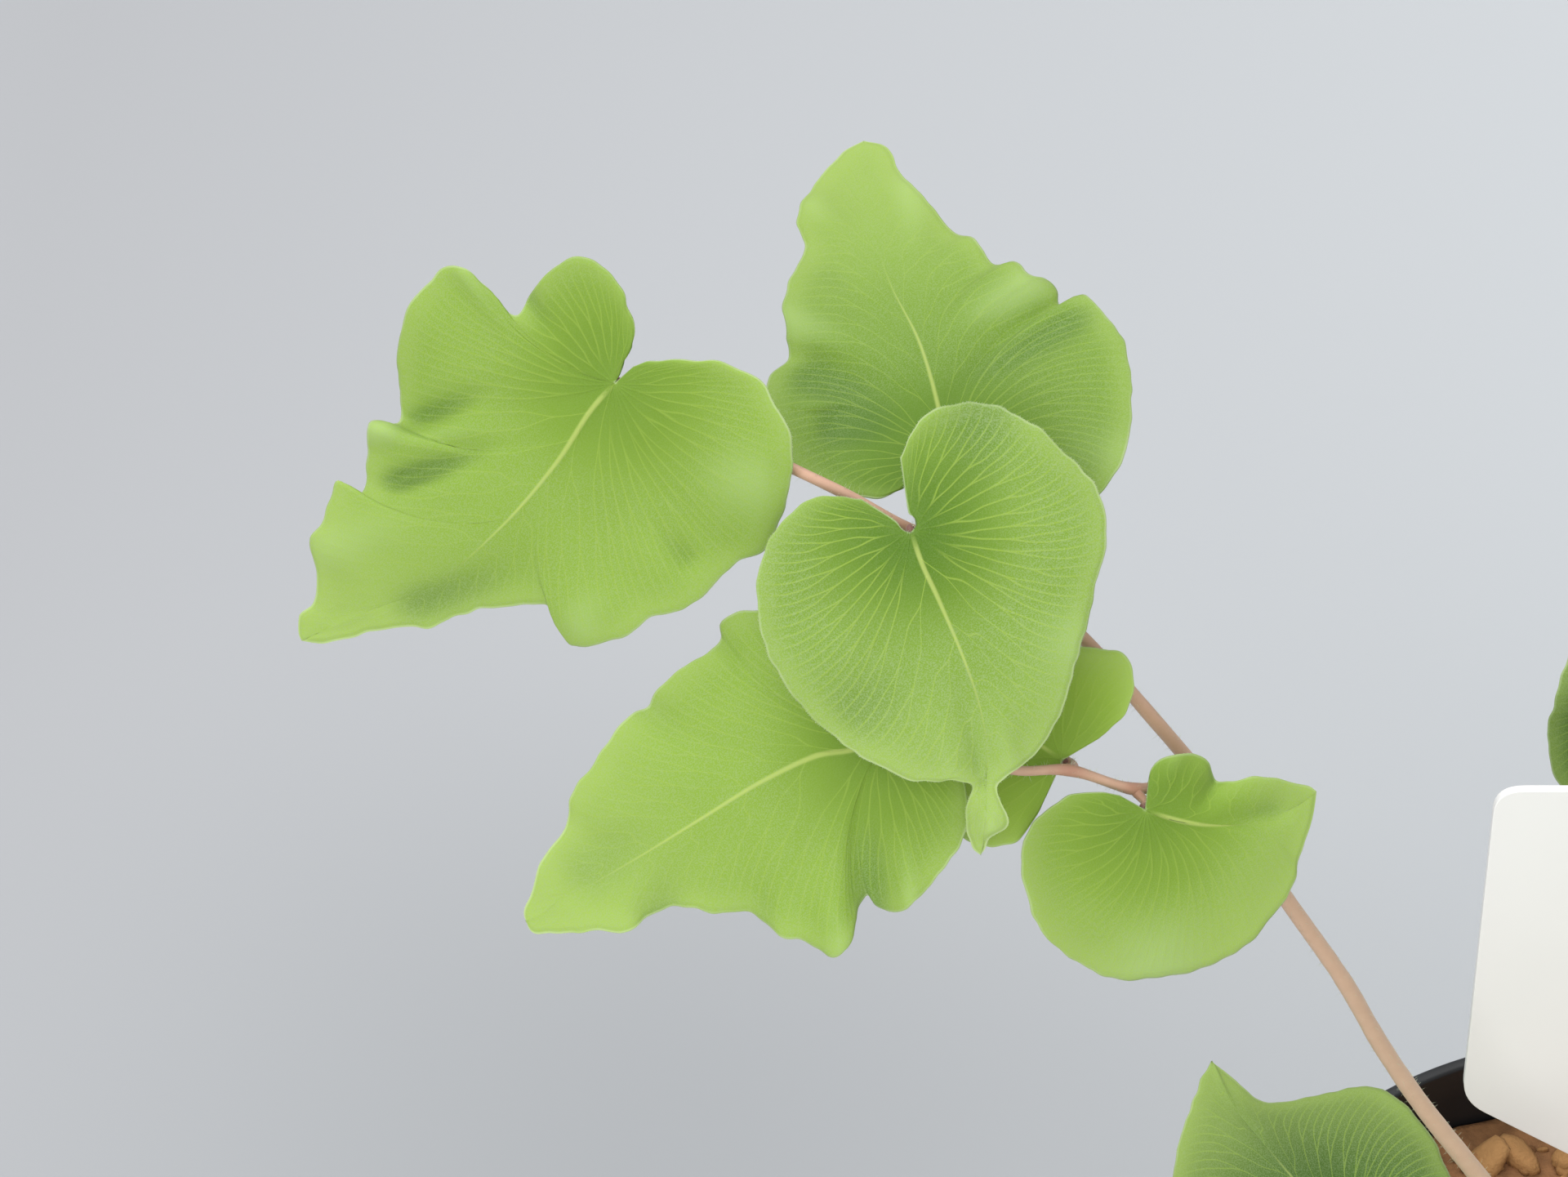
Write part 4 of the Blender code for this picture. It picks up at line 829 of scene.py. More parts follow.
def tip_leaflet():
    """The long frond's end leaflet, far to the left, with deep lobes and ruffled margins."""
    return Blade(
        "leaflet_left_tip",
        base=(-88.8, 15.1, 160.1),
        tip=(-114.3, 13.9, 135.4),
        face=(-0.31, -0.88, 0.36),
        midrib=[
            (3.1, 0.5, 0.3), (8.2, 2.0, 0.6), (15.4, 3.2, 0.6), (23.4, 3.3, 0.3), (30.0, 1.6, 0),
            (35.8, 0.3, 0.3),
        ],
        left=[
            (-2.0, 0, 0), (-3.5, 0.4, 0), (-5.5, 1.7, 0), (-8.2, 4.0, 0), (-9.6, 6.5, 0),
            (-9.4, 9.3, 0.2), (-8.4, 12.3, 0.2), (-6.6, 14.2, 0), (-3.4, 16.4, -0.2), (-0.7, 17.3, -0.5),
            (1.1, 16.7, -0.6), (4.0, 17.0, -0.3), (7.0, 17.2, 0.2), (10.2, 16.1, 0.4), (12.7, 16.0, 0.6),
            (15.3, 15.1, 0.6), (17.1, 14.2, 0.5), (17.4, 13.8, 0.4), (17.1, 12.6, 0.3),
            (16.6, 10.6, 0.1), (16.8, 10.2, 0), (19.8, 8.1, -0.4), (23.7, 6.4, -0.3), (26.0, 6.0, -0.2),
            (26.5, 5.7, -0.2), (27.2, 4.9, -0.2), (30.6, 3.2, 0), (34.5, 1.5, 0.2), (35.0, 1.1, 0.2),
        ],
        right=[
            (-0.9, -1.0, 0), (-2.1, -1.4, 0), (-3.7, -1.9, 0), (-4.6, -2.9, 0.1), (-4.8, -4.1, 0.2),
            (-5.4, -5.0, 0.3), (-5.4, -6.8, 0.4), (-5.0, -8.4, 0.5), (-3.6, -9.7, 0.4),
            (-1.4, -9.9, 0.2), (0.9, -9.5, 0.1), (2.1, -9.0, 0), (3.0, -8.9, 0),
            (3.5, -9.9, 0), (3.4, -11.7, 0.1), (3.7, -13.5, 0.2), (4.8, -15.0, 0.4), (6.7, -15.2, 0.5),
            (9.4, -14.8, 0.5), (11.4, -13.9, 0.3), (13.3, -12.3, 0), (15.6, -9.4, -0.6),
            (16.7, -8.4, -0.7), (17.0, -8.4, -0.6), (18.7, -9.6, 0.3), (19.1, -9.4, 0.4),
            (20.8, -7.8, 0.3), (22.4, -6.2, 0.1), (23.3, -5.9, 0), (23.5, -6.2, 0),
            (24.2, -7.8, 0.1), (24.5, -7.8, 0.1), (26.0, -6.9, 0.2), (27.8, -5.8, 0.2), (29.3, -5.5, 0.2),
            (30.4, -4.0, 0), (31.7, -2.3, 0), (33.1, -1.3, 0), (34.4, -1.4, 0.2), (34.7, -1.2, 0.2),
            (35.6, -0.3, 0.2),
        ],
        lift=TO_LIGHT,
        folds=[
            ((15.3, -7.4), (6.5, -5.2), 1.1, -1.2), ((18.6, -8.7), (9.0, -1.6), 1.2, 0.9),
            ((19.3, -4.5), (9.0, -1.0), 1.1, -1.4), ((28.5, -4.0), (16.0, 0), 2.4, 0.6),
            ((1.2, -9.6), (1.6, -4.0), 1.0, -0.7), ((4.2, -13.5), (4.4, -6.0), 0.9, 0.5),
            ((25.0, 4.0), (11.0, 8.4), 2.0, -0.9), ((15.5, 13.0), (9.0, 11.0), 2.2, 0.6),
            ((4.6, 14.0), (5.4, 9.0), 1.2, -0.6), ((-4.0, 13.0), (2.0, 7.0), 3.5, 0.7),
        ],
    )


def back_leaflet():
    """The leaflet that leans back behind the front one, with a jagged margin."""
    return Blade(
        "leaflet_left_back",
        base=(-63.0, 14.4, 153.1),
        tip=(-69.0, 47.4, 159.8),
        face=(-0.09, -0.21, 0.97),
        midrib=[(5.5, -0.3, 0.2), (12.2, -0.1, 0.2), (18.9, 1.0, 0), (27.0, 1.2, 0), (34.4, 0.2, 0)],
        left=[
            (-1.6, 3.6, 0.2), (-2.5, 5.9, 0.7), (-1.0, 9.3, 1.2), (2.3, 12.1, 1.2), (6.0, 12.9, 0.9),
            (9.4, 12.9, 0.4), (11.6, 12.2, -0.1), (13.2, 10.3, -0.7), (15.3, 10.0, -0.3),
            (19.0, 9.7, 0.3), (21.2, 8.7, 0.2), (24.2, 7.0, -0.3), (27.4, 7.1, 0.3), (29.4, 6.1, 0.5),
            (31.4, 4.3, 0.3), (33.7, 2.0, 0),
        ],
        right=[
            (-4.0, -1.4, 0), (-7.7, -4.9, 0.3), (-8.5, -8.0, 0.4), (-6.4, -10.7, 0.4),
            (-4.0, -12.9, 0.6), (-0.8, -14.3, 0.8), (2.5, -15.2, 1.0), (7.2, -15.8, 1.2),
            (10.1, -15.3, 1.2), (13.6, -13.9, 1.3), (13.2, -11.9, -1.0), (14.8, -11.8, -0.9),
            (16.2, -11.1, -0.4), (16.7, -10.2, 0.1), (18.5, -9.0, 0.6), (18.7, -7.5, -0.4),
            (21.7, -6.4, 0.4), (22.8, -5.2, -0.3), (25.9, -3.9, 0.2), (29.8, -2.1, 0), (33.3, -1.4, 0),
        ],
        lift=TO_LIGHT,
        folds=[
            ((10.8, -11.4), (4.5, 2.5), 1.9, -1.1), ((15.6, -9.5), (11.5, -0.5), 2.2, 0.9),
            ((10.4, 8.6), (3.5, 0.4), 2.3, -1.2), ((7.8, 9.4), (7.2, 2.4), 0.5, 0.5),
            ((5.2, 8.0), (3.0, 0.5), 2.2, -1.2), ((17.0, 9.6), (11.0, 2.6), 2.2, 0.7),
            ((20.5, 5.5), (14.0, 2.2), 1.6, -0.4), ((-3.0, -13.0), (1.0, -5.0), 3.5, 0.5),
            ((28.0, -2.2), (17.0, -1.6), 1.8, 0.6), ((28.5, 5.5), (23.5, 3.5), 1.5, 0.5),
        ],
    )


def front_leaflet():
    """The round leaflet in front, folded to a narrow tail."""
    return Blade(
        "leaflet_left_front",
        base=(-66.1, 4.0, 154.6),
        tip=(-60.3, -6.8, 138.6),
        face=(0.0, -0.83, 0.56),
        midrib=[
            (2.9, 0.1, 0.3), (5.8, 0.5, 0.5), (11.2, 1.1, 0.5), (15.1, 1.2, 0.3), (18.8, 0.7, 0.1),
            (20.6, -0.1, 0.3), (23.0, -0.8, 0.3), (25.7, -2.0, 0),
        ],
        left=[
            (-5.4, 0.8, 0), (-7.9, 3.3, -0.2), (-8.3, 4.9, -0.3), (-7.6, 8.2, -0.4), (-4.9, 11.4, -0.5),
            (-1.3, 13.5, -0.6), (1.0, 14.5, -0.7), (4.0, 14.5, -0.8), (6.1, 13.8, -0.8),
            (9.0, 11.9, -0.9), (11.1, 10.8, -0.9), (14.1, 8.9, -0.8), (16.9, 7.2, -0.6),
            (18.4, 5.5, -0.5), (19.8, 3.5, -0.3), (20.2, 2.2, -0.2), (20.6, 1.3, 0), (20.9, 0.8, 0.1),
            (21.4, 0.65, 0.2), (22.3, 0.75, 0.4), (23.4, 0.9, 0.5), (23.9, 0.8, 0.5), (24.2, 0.4, 0.4),
            (24.3, -0.4, 0.3), (24.6, -1.05, 0.2), (25.3, -1.5, 0.1),
        ],
        right=[
            (-3.2, -2.9, 0), (-4.2, -4.9, -0.2), (-4.2, -7.3, -0.3), (-2.1, -10.7, -0.5),
            (1.8, -12.8, -0.7), (6.2, -13.2, -0.8), (10.9, -11.8, -0.8), (15.7, -8.7, -0.7),
            (17.2, -7.2, -0.5), (18.5, -5.6, -0.3), (19.1, -4.0, 0), (19.5, -2.8, 0.1), (19.8, -1.8, 0.2),
            (20.2, -1.15, 0.3), (20.7, -1.15, 0.2), (21.7, -1.85, -0.1), (22.6, -2.3, -0.4),
            (23.4, -2.45, -0.5), (24.2, -2.45, -0.4), (25.1, -2.4, -0.2),
        ],
        lift=TO_LIGHT,
        folds=[
            ((19.4, -0.1), (9.0, 0.2), 0.8, -0.5), ((20.0, 2.2), (12.0, 2.6), 1.1, 0.4),
            ((19.6, -2.4), (12.0, -2.6), 1.1, 0.35), ((-7.0, 8.0), (3.0, 3.0), 3.5, -0.9),
            ((12.0, 9.5), (9.5, 3.5), 3.5, 0.6), ((24.0, -0.6), (20.4, -0.2), 1.2, 0.5),
            ((12.5, -8.0), (10.0, 0), 3.0, -0.7),
        ],
        notch=(0.6, 0.45, 0.25),
        rib=(0.13, 0.9),
    )


def branch_tip_leaflet():
    """The side branch's end leaflet, scalloped all round."""
    return Blade(
        "leaflet_left_branch_tip",
        base=(-67.8, -0.4, 137.0),
        tip=(-96.2, -5.3, 121.8),
        face=(-0.19, -0.78, 0.60),
        midrib=[
            (2.9, -0.5, 0.2), (5.4, -1.3, 0.3), (10.3, -1.5, 0.4), (15.8, -1.1, 0.3), (22.0, -0.6, 0.1),
            (28.0, -0.3, 0), (32.4, -0.2, 0),
        ],
        left=[
            (-2.6, 1.9, 0), (-3.6, 3.6, 0.1), (-3.8, 6.2, 0.3), (-2.3, 9.1, 0.6), (-0.4, 10.5, 0.8),
            (2.7, 11.8, 0.9), (5.2, 12.4, 0.7), (6.6, 11.3, 0), (6.9, 10.2, -0.4), (7.8, 10.6, -0.2),
            (9.5, 12.5, 0.4), (10.6, 13.2, 0.6), (11.7, 13.1, 0.5), (13.4, 10.8, -0.2),
            (14.7, 9.9, 0), (15.8, 7.3, -0.5), (18.4, 6.0, -0.5), (21.4, 4.0, -0.4),
            (23.2, 3.9, -0.1), (25.6, 4.2, 0.3), (27.5, 3.1, 0.2), (30.0, 2.0, 0), (32.3, 0.9, 0),
        ],
        right=[
            (-0.5, -2.6, 0), (-0.8, -5.0, 0), (0.4, -9.8, 0.2), (2.5, -12.7, 0.3), (4.5, -13.6, 0.3),
            (6.1, -14.2, 0.2), (7.5, -14.0, -0.2), (8.0, -13.0, -0.5), (9.3, -12.5, -0.1),
            (11.8, -12.2, 0.2), (14.1, -11.8, 0.1), (15.8, -10.8, -0.2), (17.5, -10.8, 0.1),
            (19.4, -10.1, 0.2), (22.8, -8.3, 0.1), (24.5, -7.4, 0), (25.8, -5.7, -0.3),
            (29.0, -3.8, 0.1), (30.8, -2.2, 0), (32.2, -0.9, 0),
        ],
        lift=TO_LIGHT,
        folds=[
            ((6.8, 10.6), (2.0, 0.6), 2.0, -1.0), ((4.2, 12.0), (0.8, 3.5), 1.2, 0.6),
            ((10.8, 13.0), (7.0, 4.0), 1.6, 0.5), ((15.4, 8.5), (11.5, 2.5), 1.6, -0.5),
            ((23.0, 4.4), (17.5, 1.6), 2.0, -0.7), ((8.0, -13.2), (6.5, -7.5), 1.0, -0.4),
            ((16.3, -11.5), (12.5, -4.0), 1.8, -0.5), ((26.0, -1.5), (14.0, -2.5), 3.2, -0.6),
        ],
        rib=(0.17, 1.0),
    )


def branch_outer_leaflet():
    """The side branch's lopsided round leaflet."""
    return Blade(
        "leaflet_left_branch_outer",
        base=(-47.3, -0.2, 129.4),
        tip=(-33.9, 3.1, 128.7),
        face=(0.24, -0.93, 0.28),
        midrib=[
            (2.1, -0.95, 0.2), (3.9, -1.6, 0.3), (6.0, -2.15, 0.2), (8.1, -2.4, 0), (10.2, -2.2, 0),
            (12.5, -1.3, 0), (14.2, -0.3, 0),
        ],
        left=[
            (0.2, 2.2, 0), (0.5, 3.4, 0), (1.4, 4.3, 0.1), (2.9, 4.6, 0.1), (4.1, 4.2, 0),
            (5.2, 3.4, -0.2), (6.0, 1.7, -0.6), (7.0, 1.5, -0.3), (9.3, 1.6, 0.2), (11.8, 0.9, 0.1),
            (13.6, 0.2, 0),
        ],
        right=[
            (-2.1, 1.5, 0), (-3.7, 2.1, 0), (-5.4, 2.2, 0), (-7.0, 1.8, 0.1), (-8.4, 0.9, 0.1),
            (-9.4, -0.2, 0.1), (-10.1, -2.1, 0.1), (-10.1, -4.3, 0), (-9.7, -6.5, 0), (-8.7, -9.1, 0),
            (-7.2, -11.1, 0), (-5.3, -12.9, -0.1), (-3.2, -14.3, -0.2), (-1.1, -14.9, -0.3),
            (3.0, -14.9, -0.3), (5.1, -14.7, -0.3), (7.2, -13.9, -0.3), (8.9, -12.9, -0.2),
            (10.5, -11.2, -0.1), (12.6, -7.9, 0.1), (12.8, -6.1, -0.1), (13.4, -4.3, 0.1),
            (14.1, -1.5, 0),
        ],
        lift=TO_LIGHT,
        folds=[
            ((5.9, 2.2), (4.0, -1.5), 0.9, -0.6), ((2.6, 4.6), (1.0, 0.8), 1.0, 0.4),
            ((10.5, -1.5), (4.0, -1.9), 1.0, -0.5), ((1.0, -14.0), (1.0, -6.0), 5.0, 0.8),
        ],
    )


def branch_inner_leaflet():
    """The side branch's small young leaflet, half hidden."""
    return Blade(
        "leaflet_left_branch_inner",
        base=(-53.8, 2.3, 132.4),
        tip=(-63.8, 9.7, 136.5),
        face=(-0.23, -0.69, 0.68),
        midrib=[(3.0, 0.2, 0), (7.0, 0.3, 0), (13.1, 0, 0)],
        left=[
            (-0.7, 3.0, 0), (-1.1, 5.2, 0), (-1.1, 7.2, 0), (-0.5, 8.1, 0), (0.6, 9.0, 0),
            (2.0, 9.6, 0), (4.6, 9.3, 0), (8.0, 7.0, 0), (11.0, 3.6, 0),
        ],
        right=[
            (-1.2, -3.1, 0), (-1.7, -5.5, 0), (-1.3, -7.2, 0), (-0.6, -8.5, 0), (0.5, -9.4, 0),
            (1.7, -9.5, 0), (3.7, -8.3, 0), (7.0, -6.6, 0), (10.5, -3.4, 0),
        ],
        lift=TO_LIGHT,
    )


def long_frond():
    """The long arching frond to the left, with a side branch low down."""
    tip, back, front = tip_leaflet(), back_leaflet(), front_leaflet()
    branch_tip, branch_outer, branch_inner = (
        branch_tip_leaflet(), branch_outer_leaflet(), branch_inner_leaflet()
    )
    node_low = (-41.8, 9.5, 123.8)
    node_high = (-65.4, 6.8, 151.7)
    side_outer = (-48.2, 1.6, 130.0)
    side_inner = (-53.4, 0.9, 132.6)
    frond = Frond(
        "frond_left_stalk",
        radius=0.95,
        route=[
            (-3.0, 8.9, 56.0), (-5.5, 9.0, 61.0), (-10.8, 9.6, 69.6), (-16.6, 10.3, 78.3),
            (-21.4, 10.5, 85.7), (-25.4, 10.4, 93.0), (-29.1, 9.9, 101.0), (-34.6, 9.4, 111.0), node_low,
            (-47.4, 9.8, 131.9), (-51.5, 10.4, 137.4), (-57.5, 9.6, 144.9), node_high,
            (-70.7, 8.3, 154.3), (-74.8, 10.0, 155.5), (-82.1, 14.6, 156.3), (-85.0, 16.0, 157.0),
        ],
    )
    frond.carry_on([(-87.2, 16.9, 157.9), *tip.seat()])
    frond.branch([node_high, *front.seat()])
    frond.branch([node_high, (-64.4, 10.4, 151.4), *back.seat()])
    branch_route = [
        node_low, (-44.4, 5.8, 127.2), side_outer, side_inner, (-57.5, 0.3, 133.1),
        (-62.5, 0.8, 134.2), (-66.4, 0.9, 135.2), *branch_tip.seat(),
    ]
    frond.branch(branch_route, SIDE_BRANCH_RADIUS)
    frond.branch([side_outer, *branch_outer.seat()])
    frond.branch([side_inner, (-52.9, 2.4, 131.8), *branch_inner.seat()])
    frond.blades = [tip, back, front, branch_tip, branch_outer, branch_inner]
    return frond


def low_frond():
    """The short frond to the left, whose end leaflet hangs over the pot's rim."""
    end = Blade(
        "leaflet_low_tip",
        base=(-26.1, 5.2, 70.5),
        tip=(-38.6, 21.8, 79.4),
        face=(0.26, -0.30, 0.92),
        midrib=[(6.0, 0, 0.6), (12.0, 0.5, 0.6), (18.0, 0.6, 0.1), (22.6, 0, 0.7)],
        left=[
            (-2.2, 1.6, 0), (-2.4, 4.8, 0), (1.5, 9.3, 0.3), (5.8, 11.3, 0.4), (11.6, 12.1, 0.2),
            (15.4, 9.6, -0.3), (18.8, 5.7, -0.2), (21.4, 2.1, 0.3),
        ],
        right=[
            (-3.4, -1.4, 0), (-5.0, -4.6, 0), (-4.0, -8.4, 0.2), (-0.8, -11.6, 0.3), (3.7, -13.3, 0.3),
            (9.3, -14.1, 0), (13.5, -13.0, -0.4), (15.6, -8.0, -0.9), (17.5, -2.6, -0.6),
            (20.3, -1.0, 0.2),
        ],
    )
    route = [
        (-8.0, 6.6, 56.5), (-8.6, 6.2, 61.0), (-11.8, 5.4, 65.2), (-16.5, 4.8, 66.8),
        (-22.2, 5.2, 66.7),
    ]
    frond = Frond("frond_low_stalk", radius=0.6, route=route)
    frond.carry_on(end.seat())
    frond.blades.append(end)
    frond.leaflet("leaflet_low_side_a", share=0.44, turn=98, length=13, droop=-8)
    frond.leaflet("leaflet_low_side_b", share=0.90, turn=80, length=14, droop=6)
    return frond


def right_frond():
    """The tall frond that arches to the right."""
    route = [
        (0.6, 7.6, 56.0), (1.5, 7.5, 61.0), (4.6, 7.0, 72.0), (11.0, 5.0, 88.0), (20.5, 2.0, 104.0),
        (33.0, -1.0, 117.5), (45.5, -4.0, 126.0), (56.0, -6.0, 130.0),
    ]
    frond = Frond("frond_right_stalk", radius=0.9, route=route)
    frond.leaflet("leaflet_right_side_a", share=0.50, turn=-78, length=24, droop=6)
    frond.leaflet("leaflet_right_side_b", share=0.58, turn=74, length=22, droop=4)
    frond.leaflet("leaflet_right_side_c", share=0.75, turn=-76, length=23, droop=10, petiolule=7.0)
    frond.leaflet("leaflet_right_side_d", share=0.81, turn=72, length=22, droop=8, petiolule=7.4)
    frond.leaflet("leaflet_right_tip", share=1.0, turn=0, length=27, droop=22)
    return frond


def back_frond():
    """The frond behind the label."""
    route = [
        (3.6, 24.6, 56.0), (4.0, 25.0, 61.0), (5.2, 27.0, 72.0), (7.0, 31.0, 86.0),
        (8.5, 37.5, 99.0), (10.0, 47.0, 109.5), (11.5, 57.0, 115.0),
    ]
    frond = Frond("frond_back_stalk", radius=0.75, route=route)
    frond.leaflet(
        "leaflet_back_side_a", share=0.65, turn=85, length=19, droop=-4, petiolule=8.5, heading=8
    )
    frond.leaflet("leaflet_back_side_b", share=0.52, turn=-76, length=19, droop=4)
    frond.leaflet("leaflet_back_side_c", share=0.80, turn=-70, length=18, droop=6)
    frond.leaflet("leaflet_back_tip", share=1.0, turn=0, length=23, droop=20, petiolule=7.0)
    return frond


def front_frond():
    """The young short frond in front."""
    route = [
        (-0.8, 3.4, 56.0), (-1.0, 2.5, 61.0), (0.5, -3.5, 71.0), (4.0, -13.0, 79.5),
        (9.0, -24.0, 85.0), (13.0, -32.0, 86.5),
    ]
    frond = Frond("frond_front_stalk", radius=0.65, route=route)
    frond.leaflet("leaflet_front_side_a", share=0.55, turn=-80, length=17, droop=4)
    frond.leaflet("leaflet_front_side_b", share=0.62, turn=78, length=17, droop=4)
    frond.leaflet("leaflet_front_tip", share=1.0, turn=0, length=21, droop=20)
    return frond


# Stalks, as round tubes


def with_domes(path, radii):
    """The path carried on at both ends by rings that shrink to a dome."""
    lean = np.radians(DOME_ANGLES)[:, None]
    behind = unit(path[0] - path[1]) * radii[0]
    ahead = unit(path[-1] - path[-2]) * radii[-1]
    start = (path[0] + np.sin(lean) * behind)[::-1]
    end = path[-1] + np.sin(lean) * ahead
    shrink = np.cos(lean[:, 0])
    radii = np.concatenate((shrink[::-1] * radii[0], radii, shrink * radii[-1]))
    return np.vstack((start, path, end)), radii


def ring_faces(rings, sides):
    """The quads between a solid's rings of points, and the triangles that close its ends at two middle
    points that come after the rings."""
    side = np.arange(sides)
    beside = (side + 1) % sides
    low = np.arange(rings - 1)[:, None] * sides
    quads = np.stack((low + side, low + beside, low + sides + beside, low + sides + side), axis=-1)
    last = (rings - 1) * sides
    start, end = rings * sides, rings * sides + 1
    caps = np.concatenate((
        np.stack((side * 0 + start, beside, side), axis=1),
        np.stack((side * 0 + end, last + side, last + beside), axis=1),
    ))
    return quads.reshape(-1, 4), caps


def tube(path, radii):
    """Points, quads and end triangles of a round closed tube along the path."""
    tangents = unit(np.gradient(path, axis=0))
    across = unit(np.cross(tangents[0], TUBE_SEAM))
    angles = 2 * math.pi * np.arange(STALK_SIDES) / STALK_SIDES
    points = []
    for where, tangent, radius in zip(path, tangents, radii):
        across = unit(across - tangent * np.dot(across, tangent))
        other = np.cross(tangent, across)
        ring = across * np.cos(angles)[:, None] + other * np.sin(angles)[:, None]
        points.append(where + radius * ring)
    return np.vstack((*points, path[:1], path[-1:])), *ring_faces(len(path), STALK_SIDES)


def stalk_tubes(frond):
    """The frond's paths with their radii and how near each point is to a node and to a joint."""
    nodes = np.array([route[0] for route, _ in frond.branches])
    runs = [(frond.route, frond.radius, STALK_TIP_RADIUS, False)]
    runs += [(route, radius, PETIOLULE_RADIUS, True) for route, radius in frond.branches]
    for route, start_radius, end_radius, jointed in runs:
        curve, lengths = smooth_curve(route)
        shares = np.linspace(0, 1, max(LEAST_STALK_RINGS, round(lengths[-1] / STALK_STEP) + 1))
        radii = start_radius + (end_radius - start_radius) * shares
        path, radii = with_domes(at_share(curve, lengths, shares), radii)
        away = np.min(np.linalg.norm(path[:, None] - nodes[None], axis=2), axis=1)
        near_node = np.exp(-((away / NODE_REACH) ** 2))
        to_end = np.linalg.norm(path - path[-1], axis=1)
        near_joint = np.exp(-((to_end / JOINT_REACH) ** 2)) * jointed
        uneven = 1 + STALK_UNEVENNESS * lumps(path, STALK_LUMP, len(nodes))
        yield path, radii * (1 + NODE_SWELL * near_node) * uneven, near_node, near_joint


def add_stalk(frond, finish):
    """The stalk with its side branches and petiolules, a little swollen at its nodes. Returns their paths
    and radii."""
    points, quads, caps, tints, skin, count = [], [], [], [], [], 0
    for path, radii, near_node, near_joint in stalk_tubes(frond):
        tube_points, tube_quads, tube_caps = tube(path, radii)
        points.append(tube_points)
        quads.append(tube_quads + count)
        caps.append(tube_caps + count)
        count += len(tube_points)
        height = np.clip((path[:, 2] - POT_HEIGHT) / (STALK_TINT_TOP - POT_HEIGHT), 0, 1)
        rings = np.stack((height, near_node, near_joint), axis=1)
        tints.append(np.vstack((np.repeat(rings, STALK_SIDES, axis=0), rings[:1], rings[-1:])))
        skin.append((path, radii))
    add_piece(
        frond.name + "_skin",
        np.concatenate(points),
        [np.concatenate(quads), np.concatenate(caps)],
        finish,
        {"stalk": np.concatenate(tints)},
        replaces=frond.name,
    )
    return skin


def add_stalk_hairs(frond, skin, finish):
    """Short pale hairs that stand out all round the stalk above the soil."""
    per_mm = STALK_HAIRS_PER_MM.get(frond.name, PLAIN_HAIRS_PER_MM)
    dice = np.random.default_rng(len(frond.name))
    roots, tips = [], []
    for path, radii in skin:
        run = np.linalg.norm(np.diff(path, axis=0), axis=1)
        count = max(FEWEST_HAIRS, round(run.sum() * per_mm))
        chosen = dice.choice(len(run), count, p=run / run.sum())
        share = dice.random((count, 1))
        middle = path[chosen] * (1 - share) + path[chosen + 1] * share
        tangent = unit(path[chosen + 1] - path[chosen])
        spoke = dice.normal(0, 1, (count, 3))
        spoke = unit(spoke - tangent * np.sum(spoke * tangent, axis=1, keepdims=True))
        above = middle[:, 2] > SOIL_TOP + STALK_HAIRS_ABOVE_SOIL
        root = middle + spoke * (radii[chosen][:, None] - HAIR_ROOT)
        size = dice.uniform(*STALK_HAIR_LENGTHS, (count, 1))
        tip = root + unit(spoke + tangent * dice.normal(*STALK_HAIR_LEAN, (count, 1))) * size
        roots.append(root[above])
        tips.append(tip[above])
    roots, tips = np.concatenate(roots), np.concatenate(tips)
    radii = dice.uniform(*STALK_HAIR_RADII, len(roots))
    needles(frond.name + "_hairs", roots, tips, radii, finish)


# Pot, soil and label


def turned(profile, sides):
    """Points, quads and end triangles of a solid turned about Z, from (radius, height) pairs that start
    and end on Z."""
    angles = np.arange(sides) * 2 * math.pi / sides
    ring = np.stack((np.cos(angles), np.sin(angles), 0 * angles), axis=1)
    rings = [ring * radius + UP * height for radius, height in profile[1:-1]]
    points = np.vstack((*rings, (0, 0, profile[0][1]), (0, 0, profile[-1][1])))
    return points, *ring_faces(len(rings), sides)


def rounded(corners, steps):
    """The outline of a polygon given as (x, z, radius), with each corner cut back and rounded."""
    outline = []
    flat = [np.array(corner[:2], float) for corner in corners]
    for i, corner in enumerate(flat):
        radius = corners[i][2]
        before = corner + unit(flat[i - 1] - corner) * radius
        after = corner + unit(flat[(i + 1) % len(flat)] - corner) * radius
        for t in np.linspace(0, 1, steps + 1):
            outline.append((1 - t) ** 2 * before + 2 * t * (1 - t) * corner + t**2 * after)
    return outline


def pot_profile():
    """The pot's turned section, from its bottom's middle round the lip to its floor's middle. These two
    aren't rounded, so the points that repeat them are left out."""
    collar_foot = POT_HEIGHT - POT_COLLAR_HEIGHT
    foot_radius = POT_RIM_RADIUS - POT_COLLAR_STEP - POT_COLLAR_FLARE
    collar_radius = foot_radius + POT_COLLAR_STEP
    lip_radius = POT_RIM_RADIUS - POT_LIP / 2
    section = [
        (0, 0, 0),
        (POT_BASE_RADIUS, 0, POT_FOOT_ROUND),
        (foot_radius, collar_foot, POT_BEND_ROUND),
        (collar_radius, collar_foot + POT_COLLAR_SLOPE, POT_BEND_ROUND),
        (lip_radius, POT_HEIGHT - POT_LIP * 2, POT_LIP_FOOT_ROUND),
        (POT_RIM_RADIUS, POT_HEIGHT - POT_LIP, POT_LIP_ROUND),
        (lip_radius, POT_HEIGHT, POT_LIP_ROUND),
        (lip_radius - POT_WALL, POT_HEIGHT, POT_LIP_ROUND),
        (collar_radius - POT_WALL, collar_foot + POT_COLLAR_SLOPE + POT_WALL, POT_BEND_ROUND),
        (foot_radius - POT_WALL, collar_foot + POT_WALL, POT_BEND_ROUND),
        (POT_BASE_RADIUS - POT_WALL, POT_FLOOR, POT_FLOOR_ROUND),
        (0, POT_FLOOR, 0),
    ]
    return rounded(section, CORNER_STEPS)[CORNER_STEPS:-CORNER_STEPS]


